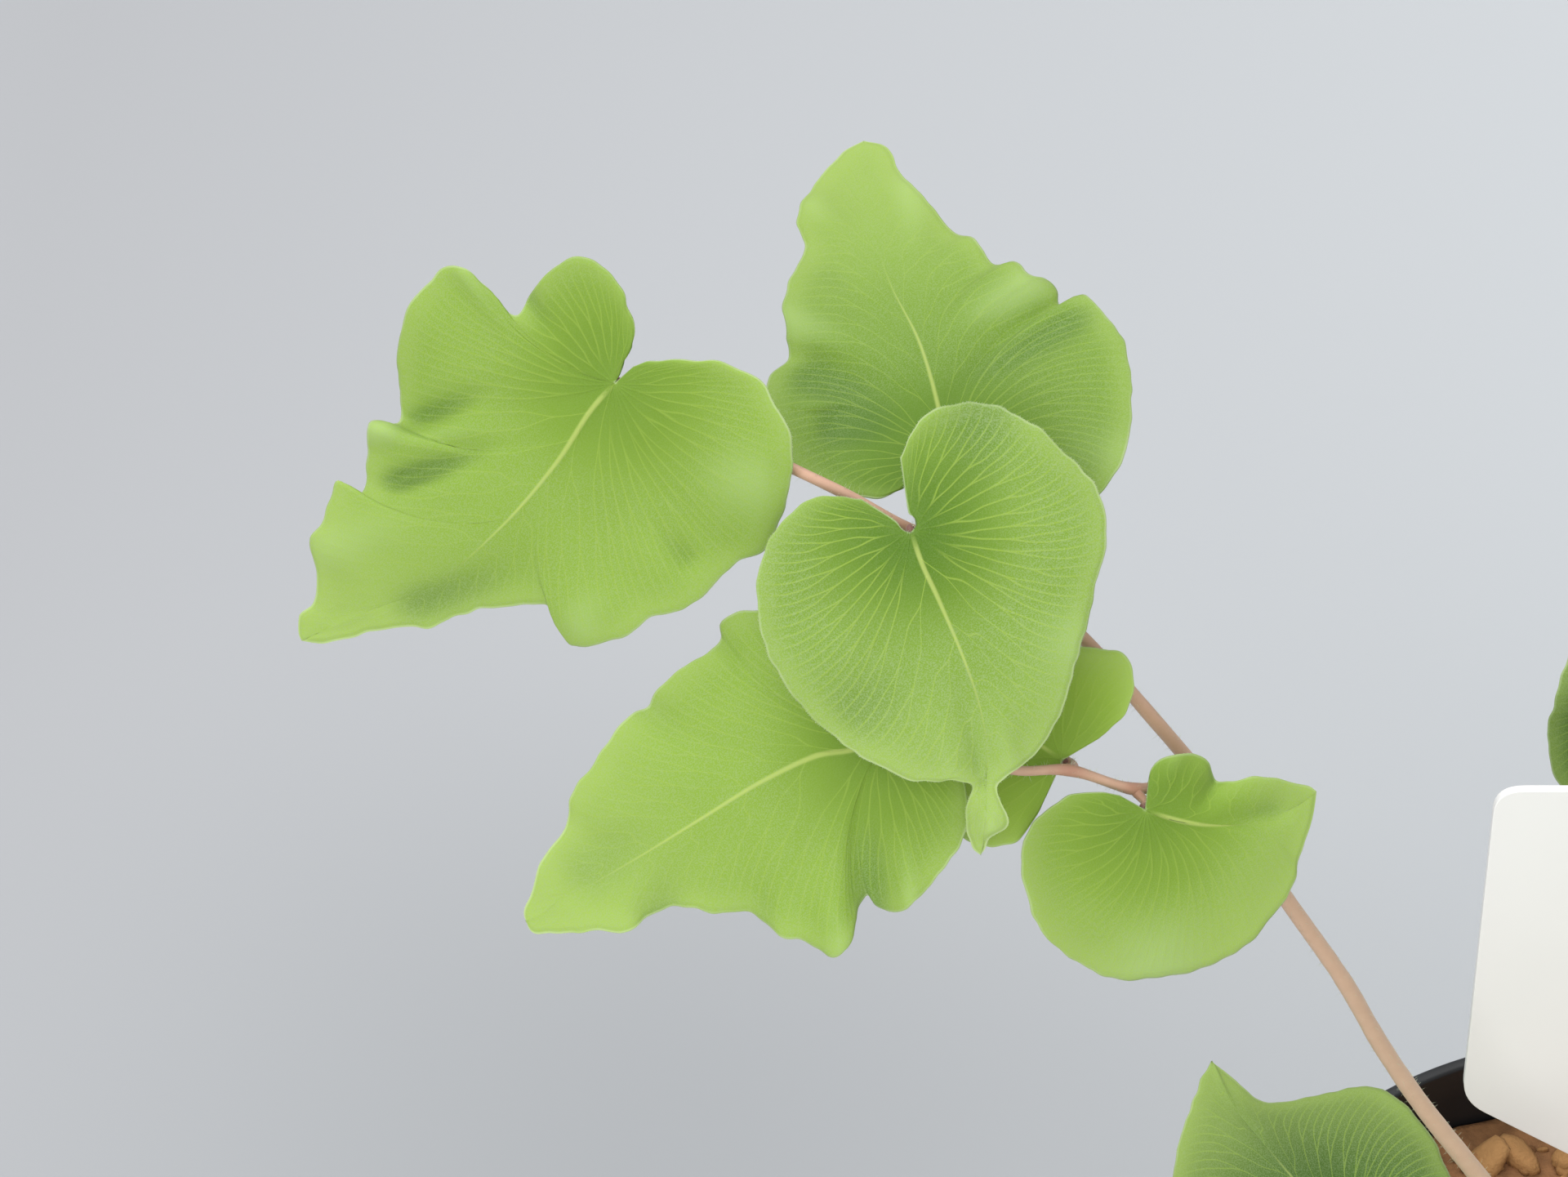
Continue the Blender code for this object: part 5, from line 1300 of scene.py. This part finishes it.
def add_pot(finish):
    """The nursery pot with its drain holes cut through the floor."""
    points, quads, ends = turned(pot_profile(), POT_SIDES)
    pot = add_piece("nursery_pot", points, [quads, ends], finish, replaces="pot")
    drill = bpy.data.collections.new("drain_holes")
    for i in range(DRAIN_HOLES):
        angle = 2 * math.pi * (i + 0.5) / DRAIN_HOLES
        place = np.array((math.cos(angle), math.sin(angle), 0)) * DRAIN_CIRCLE_RADIUS * MM
        bpy.ops.mesh.primitive_cylinder_add(
            vertices=DRAIN_HOLE_SIDES,
            radius=DRAIN_HOLE_RADIUS * MM,
            depth=DRILL_LENGTH * MM,
            location=tuple(place),
        )
        drill.objects.link(bpy.context.object)
    cut = pot.modifiers.new("Drain holes", "BOOLEAN")
    cut.operand_type = "COLLECTION"
    cut.collection = drill
    graph = bpy.context.evaluated_depsgraph_get()
    holed = bpy.data.meshes.new_from_object(pot.evaluated_get(graph))
    pot.modifiers.clear()
    pot.data = holed
    for cutter in list(drill.objects):
        bpy.data.objects.remove(cutter)
    bpy.data.collections.remove(drill)
    pot.data.set_sharp_from_angle(angle=POT_SHARP_ANGLE)


def soil_height(points):
    """How high the crumbly soil stands at each point, over several sizes of lump."""
    return sum(lumps(points, size, seed) * height for size, seed, height in SOIL_LUMPS)


def add_soil(finish):
    """The bed of soil, which fills the pot to just under its lip and is crumbly on top."""
    collar_foot = POT_HEIGHT - POT_COLLAR_HEIGHT
    inner = POT_RIM_RADIUS - POT_COLLAR_STEP - POT_COLLAR_FLARE - POT_WALL - SOIL_CLEARANCE
    edge = inner + POT_COLLAR_STEP
    profile = [
        (0, POT_FLOOR + SOIL_GAP),
        (POT_BASE_RADIUS - POT_WALL - SOIL_CLEARANCE, POT_FLOOR + SOIL_GAP),
        (inner, collar_foot + POT_WALL + SOIL_GAP),
        (edge, collar_foot + POT_COLLAR_SLOPE + POT_WALL + SOIL_GAP),
    ]
    rings = np.linspace(1, 0, SOIL_RINGS + 1)
    profile += [(edge * share, SOIL_TOP) for share in rings]
    points, quads, ends = turned(profile, SOIL_SIDES)
    top = points[:, 2] >= SOIL_TOP
    flat = points[top] * (1, 1, 0)
    points[top, 2] += soil_height(flat)
    add_piece("bark_soil", points, [quads, ends], finish, replaces="soil")


def unit_ball():
    """The points and the triangles of a coarse ball of radius 1."""
    bpy.ops.mesh.primitive_ico_sphere_add(subdivisions=2, radius=1)
    sphere = bpy.context.object
    points = np.array([vertex.co for vertex in sphere.data.vertices])
    faces = np.array([tuple(polygon.vertices) for polygon in sphere.data.polygons])
    bpy.data.objects.remove(sphere)
    return points, faces


def chip_pose(dice):
    """A chip's place on the soil, its half sizes and its turn, all drawn at random."""
    size = CHIP_SIZE + CHIP_EXTRA_SIZE * dice.random() ** CHIP_SIZE_POWER
    radius = (CHIP_REACH - size) * math.sqrt(dice.random())
    angle = dice.uniform(0, 2 * math.pi)
    place = np.array((radius * math.cos(angle), radius * math.sin(angle), 0))
    shape = (size, size * dice.uniform(*CHIP_WIDTHS), size * dice.uniform(*CHIP_HEIGHTS))
    tilts = dice.gauss(0, CHIP_TILT), dice.gauss(0, CHIP_TILT)
    turn = Euler((*tilts, dice.uniform(0, CHIP_TURN))).to_matrix()
    return place, shape, np.array(turn)


def clear_spots(fronds):
    """The feet of the stalks and the label's slot, which chips stay clear of: their places and room."""
    feet = [(np.array(frond.route[1]) * (1, 1, 0), FOOT_ROOM) for frond in fronds]
    stake = (LABEL_LEFT + LABEL_RIGHT) / 2
    spots = np.linspace(-LABEL_STAKE_HALF_WIDTH, LABEL_STAKE_HALF_WIDTH, SLOT_SPOTS)
    return feet + [(np.array((stake + x, LABEL_Y, 0)), SLOT_ROOM) for x in spots]


def add_chips(finish, clear_of):
    """Chips and crumbs of bark that lie on the soil, larger ones few and small ones many."""
    dice = random.Random(CHIP_SEED)
    ball, ball_faces = unit_ball()
    points, faces, tints, count = [], [], [], 0
    for i in range(CHIP_COUNT):
        place, shape, turn = chip_pose(dice)
        if any(np.hypot(*(place - spot)[:2]) < shape[0] + room for spot, room in clear_of):
            continue
        rough = ball * (1 + CHIP_ROUGHNESS * lumps(ball, CHIP_ROUGH_LENGTH, i)[:, None])
        blocky = np.sign(rough) * np.abs(rough) ** CHIP_BLOCK_POWER
        ground = SOIL_TOP + soil_height([place])[0]
        points.append((blocky * shape) @ turn.T + place + UP * (ground + shape[2] * CHIP_SEAT))
        faces.append(ball_faces + count)
        # Its tone, and a draw that nothing uses but that keeps the next chips as they are.
        tints.append(np.full((len(ball), 3), (dice.random(), dice.random(), 0)))
        count += len(ball)
    points, faces, tints = (np.concatenate(parts) for parts in (points, faces, tints))
    add_piece("bark_chips", points, [faces], finish, {"chip": tints})


def add_label(finish):
    """The stake label: bare sheet plastic with softened edges."""
    middle = (LABEL_LEFT + LABEL_RIGHT) / 2
    half_head = (LABEL_RIGHT - LABEL_LEFT) / 2
    half_outline = [
        (half_head, LABEL_TOP, LABEL_CORNER),
        (half_head, LABEL_SHOULDER, LABEL_CORNER),
        (LABEL_STAKE_HALF_WIDTH, LABEL_NECK, LABEL_CORNER),
        (LABEL_STAKE_HALF_WIDTH, LABEL_POINT_START, LABEL_CORNER),
    ]
    corners = [(middle - x, z, radius) for x, z, radius in half_outline]
    corners.append((middle, LABEL_POINT, LABEL_POINT_RADIUS))
    corners += [(middle + x, z, radius) for x, z, radius in reversed(half_outline)]
    outline = np.array(rounded(corners, LABEL_CORNER_STEPS))
    count = len(outline)
    front = np.insert(outline, 1, LABEL_Y - LABEL_THICKNESS / 2, axis=1)
    back = np.insert(outline, 1, LABEL_Y + LABEL_THICKNESS / 2, axis=1)
    ring = np.arange(count)
    after = (ring + 1) % count
    caps = np.stack((ring, ring[::-1] + count))
    walls = np.stack((ring, ring + count, after + count, after), axis=1)
    label = add_piece(
        "stake_label", np.concatenate((front, back)), [caps, walls], finish,
        replaces="plant_label",
    )
    soften = label.modifiers.new("Softened edges", "BEVEL")
    soften.width = LABEL_SOFT_EDGE * MM
    soften.segments = LABEL_SOFT_EDGE_STEPS
    soften.limit_method = "ANGLE"
    label.data.set_sharp_from_angle(angle=LABEL_SHARP_ANGLE)


# Materials


def stored(tree, name):
    """The three measures that a piece holds in an attribute."""
    vectors = put(tree, "Attribute", {}, attribute_name=name).outputs["Vector"]
    return put(tree, "SeparateXYZ", {0: vectors}).outputs


def vein_distance(tree, cell, fork, spacing):
    """How far each place is from its nearest vein, by the same rule as vein_height."""
    cell = put(tree, "Math", {0: cell}, operation="FRACT")
    away = put(tree, "Math", {0: cell, 1: 0.5}, operation="SUBTRACT")
    for start, spread in FORKS:
        split = put(
            tree,
            "MapRange",
            {"Value": fork, "From Min": start, "From Max": start + FORK_RUN, "To Max": spread},
            interpolation_type="SMOOTHSTEP",
        )
        away = put(tree, "Math", {0: away}, operation="ABSOLUTE")
        away = put(tree, "Math", {0: away, 1: split}, operation="SUBTRACT")
    away = put(tree, "Math", {0: away}, operation="ABSOLUTE")
    return put(tree, "Math", {0: away, 1: spacing}, operation="MULTIPLY")


def coated(tree, colour, coats):
    """The colour with each coat over it. A coat has its own colour and the measures that decide how much
    of it shows: from a value at which its share is the first, to a value at which it is the second. The
    shares are multiplied."""
    for coat, *measures in coats:
        share = 1.0
        for value, start, end, low, high in measures:
            part = put(
                tree,
                "MapRange",
                {"Value": value, "From Min": start, "From Max": end, "To Min": low, "To Max": high},
                interpolation_type="SMOOTHSTEP",
            )
            share = put(tree, "Math", {0: part, 1: share}, operation="MULTIPLY")
        colour = put(tree, "Mix", {0: share, 6: colour, 7: coat}, data_type="RGBA")
    return colour


def leaf_blade(name):
    """A living fern blade, matt with fine velvety down: deep green at its base, with painted shade there
    too, yellower and paler towards its tip and edges, partly with painted light, with paler veins and
    midrib, painted shade in the hollows of its folds and a painted highlight on their crests. A fresh one
    is paler all over, a young lit one paler still, partly with painted light, and a shaded back or dark
    shaded one darker and duller with painted shade."""
    made, tree, shader, place = new_material(
        name,
        {
            "Roughness": 0.6,
            "IOR": 1.42,
            "Specular IOR Level": 0.15,
            "Sheen Weight": 0.08,
            "Sheen Roughness": 0.5,
            "Sheen Tint": "#EAF3DC",
            "Subsurface Weight": 0.1,
            "Subsurface Radius": (0.5, 0.9, 0.25),
            "Subsurface Scale": 0.5 * MM,
        },
    )
    cell, fork, spacing = stored(tree, "veins")
    rib, edge, _ = stored(tree, "blade")
    from_base, towards_tip, fold = stored(tree, "tone")
    off_vein = vein_distance(tree, cell, fork, spacing)
    # Patches of tone 7 mm across, and down drawn 0.11 mm wide where it is half that, so that it shows.
    patches = put(tree, "TexNoise", {"Vector": place, "Scale": 1 / (7 * MM), "Detail": 3.0})
    grain = put(tree, "TexNoise", {"Vector": place, "Scale": 1 / (0.11 * MM), "Detail": 1.0})
    tint, tint_share, base_shade_share, base_shade_reach, vein_share, down_share = BLADE_TINTS[name]
    green = put(tree, "Mix", {0: patches, 6: LEAF_GREEN, 7: LEAF_LIGHT_GREEN}, data_type="RGBA")
    green = put(tree, "Mix", {0: tint_share, 6: green, 7: tint}, data_type="RGBA")
    coats = (
        # The deep green at the base: partly the blade's own colour and partly painted shade from the
        # leaflets above.
        (LEAF_BASE_AND_SHADE_GREEN, (from_base, 1.0, base_shade_reach, base_shade_share, 0.0), (towards_tip, 0.1, 0.7, 1.0, 0.2)),
        # These two coats are partly the blade's paler tip and edges and partly painted light on its thin,
        # lit parts.
        (LEAF_TIP_AND_LIT_GREEN, (towards_tip, 0.4, 0.95, 0.0, 0.6)),
        (LEAF_TIP_AND_LIT_GREEN, (edge, 0.0, 2.5, 0.35, 0.0), (from_base, 2.0, 8.0, 0.2, 1.0)),
        # Painted shade: a darker green in the hollows of the folds, where the face turns away from the
        # light.
        (LEAF_PAINTED_SHADE_GREEN, (fold, -1.1, -0.1, 0.5, 0.0)),
        # Painted highlight: a paler green on the crests of the folds, as if they catch the light.
        (LEAF_PAINTED_HIGHLIGHT_GREEN, (fold, 0.1, 1.0, 0.0, 0.5)),
        (
            LEAF_VEIN_GREEN,
            (off_vein, 0.01, 2 * VEIN_HALF_WIDTH, vein_share, 0.0),
            (spacing, 0.3, 1.4, 0.0, 1.0),
            (edge, 0.3, 2.5, 0.3, 1.0),
        ),
        (LEAF_RIB_GREEN, (rib, 0.0, 1.0, 0.0, 0.62), (from_base, 0.3, 2.2, 0.1, 1.0)),
        (LEAF_DOWN, (grain, 0.38, 0.66, 0.0, down_share), (from_base, 5.0, 11.0, 0.2, 1.0)),
        (LEAF_EDGE, (edge, 0.04, 0.22, 0.5, 0.0), (patches, 0.35, 0.6, 0.35, 1.0)),
    )
    green = coated(tree, green, coats)
    velvet = put(tree, "Bump", {"Strength": 0.35, "Distance": 0.05 * MM, "Height": grain})
    feed(tree, shader, {"Base Color": green, "Normal": velvet})
    return made


def plant_down():
    """White plant hair: fine cellulose threads that catch the light, in tones that change every 3 mm."""
    made, tree, shader, place = new_material(
        "white_plant_down", {"Roughness": 0.5, "Specular IOR Level": 0.4}
    )
    tone = put(tree, "TexNoise", {"Vector": place, "Scale": 1 / (3 * MM)})
    shade = put(tree, "Mix", {0: tone, 6: "#B9C99A", 7: "#DCE3CC"}, data_type="RGBA")
    feed(tree, shader, {"Base Color": shade})
    return made


def wiry_stalk():
    """A wiry fern stalk: pale beige and smooth low down, pinkish tan above, reddish at its nodes, and dark
    purplish brown where a petiolule joins its blade."""
    made, tree, shader, place = new_material(
        "wiry_tan_stalk",
        {"Roughness": 0.48, "IOR": 1.45, "Specular IOR Level": 0.4, "Sheen Weight": 0.15},
    )
    height, near_node, near_joint = stored(tree, "stalk")
    # Fibres in the rind, drawn 0.9 mm apart where they are about 0.2, so that they show.
    streaks = put(tree, "TexNoise", {"Vector": place, "Scale": 1 / (0.9 * MM), "Detail": 3.0})
    tan = put(tree, "Mix", {0: height, 6: "#CDB398", 7: "#CDA48C"}, data_type="RGBA")
    for value, most, colour in (
        (streaks, 0.25, "#9C6E54"),
        (near_node, 0.45, "#9A5442"),
        (near_joint, 0.85, "#57302F"),
    ):
        share = put(tree, "Math", {0: value, 1: most}, operation="MULTIPLY")
        tan = put(tree, "Mix", {0: share, 6: tan, 7: colour}, data_type="RGBA")
    rough = put(tree, "Bump", {"Strength": 0.3, "Distance": 0.06 * MM, "Height": streaks})
    feed(tree, shader, {"Base Color": tan, "Normal": rough})
    return made


def moulded_pot():
    """Black polypropylene, injection moulded: satin, with a faint fine texture from the mould and a little
    dry dust that makes it greyer and rougher in patches."""
    made, tree, shader, place = new_material("moulded_black_polypropylene", {"IOR": 1.49})
    # The mould's texture, drawn 0.5 mm wide where it is about 0.1, so that it shows, and patches of dust.
    texture = put(tree, "TexNoise", {"Vector": place, "Scale": 1 / (0.5 * MM), "Detail": 2.0})
    dust = put(tree, "TexNoise", {"Vector": place, "Scale": 1 / (14 * MM), "Detail": 5.0})
    shade = put(tree, "Mix", {0: dust, 6: "#121315", 7: "#232427"}, data_type="RGBA")
    rough = put(tree, "MapRange", {"Value": dust, "To Min": 0.34, "To Max": 0.52})
    bump = put(tree, "Bump", {"Strength": 0.2, "Distance": 0.05 * MM, "Height": texture})
    feed(tree, shader, {"Base Color": shade, "Roughness": rough, "Normal": bump})
    return made


def bark_crumbs(name, chips):
    """Composted bark: rough and warm brown, darker where it is damp. Loose chips are paler, each in its
    own tone."""
    made, tree, shader, place = new_material(name, {"Roughness": 0.9, "Specular IOR Level": 0.25})
    # Crumbs 1.6 mm across, and the bark's fibres 0.35 mm apart.
    crumbs = put(tree, "TexNoise", {"Vector": place, "Scale": 1 / (1.6 * MM), "Detail": 6.0})
    fibres = put(tree, "TexNoise", {"Vector": place, "Scale": 1 / (0.35 * MM), "Detail": 3.0})
    brown = put(tree, "Mix", {0: crumbs, 6: "#583D29", 7: "#B28055"}, data_type="RGBA")
    if chips:
        tone = stored(tree, "chip")[0]
        own = put(tree, "Mix", {0: tone, 6: "#694528", 7: "#C79860"}, data_type="RGBA")
        brown = put(tree, "Mix", {0: CHIP_TONE_SHARE, 6: brown, 7: own}, data_type="RGBA")
    bump = put(tree, "Bump", {"Strength": 0.8, "Distance": 0.2 * MM, "Height": fibres})
    feed(tree, shader, {"Base Color": brown, "Normal": bump})
    return made


def sheet_label():
    """White polystyrene sheet, die cut: matt to satin, faintly uneven, and blank."""
    made, tree, shader, place = new_material("white_polystyrene_sheet", {"Roughness": 0.38, "IOR": 1.5})
    # Clouds of tone 20 mm across, and the grain of the rolled sheet, drawn 0.6 mm wide so that it shows.
    cloud = put(tree, "TexNoise", {"Vector": place, "Scale": 1 / (20 * MM), "Detail": 2.0})
    white = put(tree, "Mix", {0: cloud, 6: "#EBEAE8", 7: "#F2F0EE"}, data_type="RGBA")
    fine = put(tree, "TexNoise", {"Vector": place, "Scale": 1 / (0.6 * MM)})
    bump = put(tree, "Bump", {"Strength": 0.08, "Distance": 0.05 * MM, "Height": fine})
    feed(tree, shader, {"Base Color": white, "Normal": bump})
    return made


def plain_floor():
    """A plain matt sheet of pale cool grey card, with painted light that makes it a little paler to the
    right, and a painted shadow of the pot and plant that makes it darker near the pot.
    """
    made, tree, shader, place = new_material(
        "pale_grey_card", {"Roughness": 0.95, "Specular IOR Level": 0.1}
    )
    across = put(tree, "SeparateXYZ", {0: place}).outputs[0]
    # Painted light: the card's grey grows paler to the right, as if more light fell there.
    ends = {"From Min": FLOOR_PAINTED_LIGHT_START, "From Max": FLOOR_PAINTED_LIGHT_END}
    paler = put(tree, "MapRange", {"Value": across, **ends})
    grey = put(tree, "Mix", {0: paler, 6: "#AFB0B3", 7: "#C4C7CA"}, data_type="RGBA")
    # Painted shadow: the card darkens round a place near the pot, as the soft shadow of the pot and plant.
    to_painted_shadow = put(tree, "VectorMath", {0: place, 1: FLOOR_PAINTED_SHADOW_PLACE}, operation="DISTANCE")
    darker = put(
        tree,
        "MapRange",
        {"Value": to_painted_shadow, "From Max": FLOOR_PAINTED_SHADOW_REACH, "To Min": 1.0, "To Max": 0.0},
        interpolation_type="SMOOTHSTEP",
    )
    grey = put(tree, "Mix", {0: darker, 6: grey, 7: "#A4A6A9"}, data_type="RGBA")
    feed(tree, shader, {"Base Color": grey})
    return made


# Scene


def add_floor():
    """The card that the pot stands on."""
    bpy.ops.mesh.primitive_plane_add(size=FLOOR_WIDTH)
    floor = bpy.context.object
    floor.name = "floor"
    floor.data.materials.append(plain_floor())
    floor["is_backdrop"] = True


def add_light(name, place, size, power, colour):
    """A soft square light at a place in metres, facing the plant."""
    light = bpy.data.lights.new(name, "AREA")
    light.size = size
    light.energy = power
    light.color = linear(colour)[:3]
    made = bpy.data.objects.new(name, light)
    bpy.context.scene.collection.objects.link(made)
    made.location = place
    aim = Vector(LIGHT_AIM) - made.location
    made.rotation_euler = aim.to_track_quat("-Z", "Y").to_euler()


def add_studio():
    """Soft daylight from above and all round, and the camera."""
    world = bpy.data.worlds.new("soft_daylight")
    world.use_nodes = True
    sky = world.node_tree.nodes["Background"]
    feed(world.node_tree, sky, {"Color": "#E6E9EC", "Strength": 0.6})
    bpy.context.scene.world = world
    add_light("overhead_softbox", place=(-0.2, 0.3, 1.1), size=1.0, power=8.0, colour="#FFFFFF")
    add_light("front_softbox", place=(-0.4, -1.35, 0.95), size=1.8, power=27.0, colour="#FFFFFD")
    camera = bpy.data.cameras.new("camera")
    camera.lens = CAMERA_LENS
    camera.clip_start = 0.01
    eye = bpy.data.objects.new("camera", camera)
    bpy.context.scene.collection.objects.link(eye)
    eye.location = [value * MM for value in CAMERA_PLACE]
    eye.rotation_euler = (CAMERA_TILT, 0, 0)
    bpy.context.scene.camera = eye
    bpy.context.scene.view_settings.view_transform = "Standard"


def main():
    """Dresses the part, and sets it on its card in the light."""
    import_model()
    cad_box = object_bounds()
    blade_finishes = {kind: leaf_blade(kind) for kind in BLADE_TINTS}
    down_finish, stalk_finish = plant_down(), wiry_stalk()
    fronds = [long_frond(), low_frond(), right_frond(), back_frond(), front_frond()]
    for frond in fronds:
        skin = add_stalk(frond, stalk_finish)
        add_stalk_hairs(frond, skin, down_finish)
        for blade in frond.blades:
            kind, columns, rows, edge_hairs, face_hairs = DETAIL.get(blade.name, PLAIN_DETAIL)
            surface = add_blade(blade, columns, rows, blade_finishes[kind])
            dice = np.random.default_rng(blade.seed)
            add_fringe(blade, surface, edge_hairs, dice, down_finish)
            if face_hairs:
                add_face_down(blade, surface, face_hairs, dice, down_finish)
    add_pot(moulded_pot())
    add_soil(bark_crumbs("damp_bark_soil", chips=False))
    add_chips(bark_crumbs("bark_chips", chips=True), clear_spots(fronds))
    add_label(sheet_label())
    add_floor()
    add_studio()
    boxes = {"cad": cad_box, "visual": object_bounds()}
    plain = {name: [list(corner) for corner in corners] for name, corners in boxes.items()}


main()
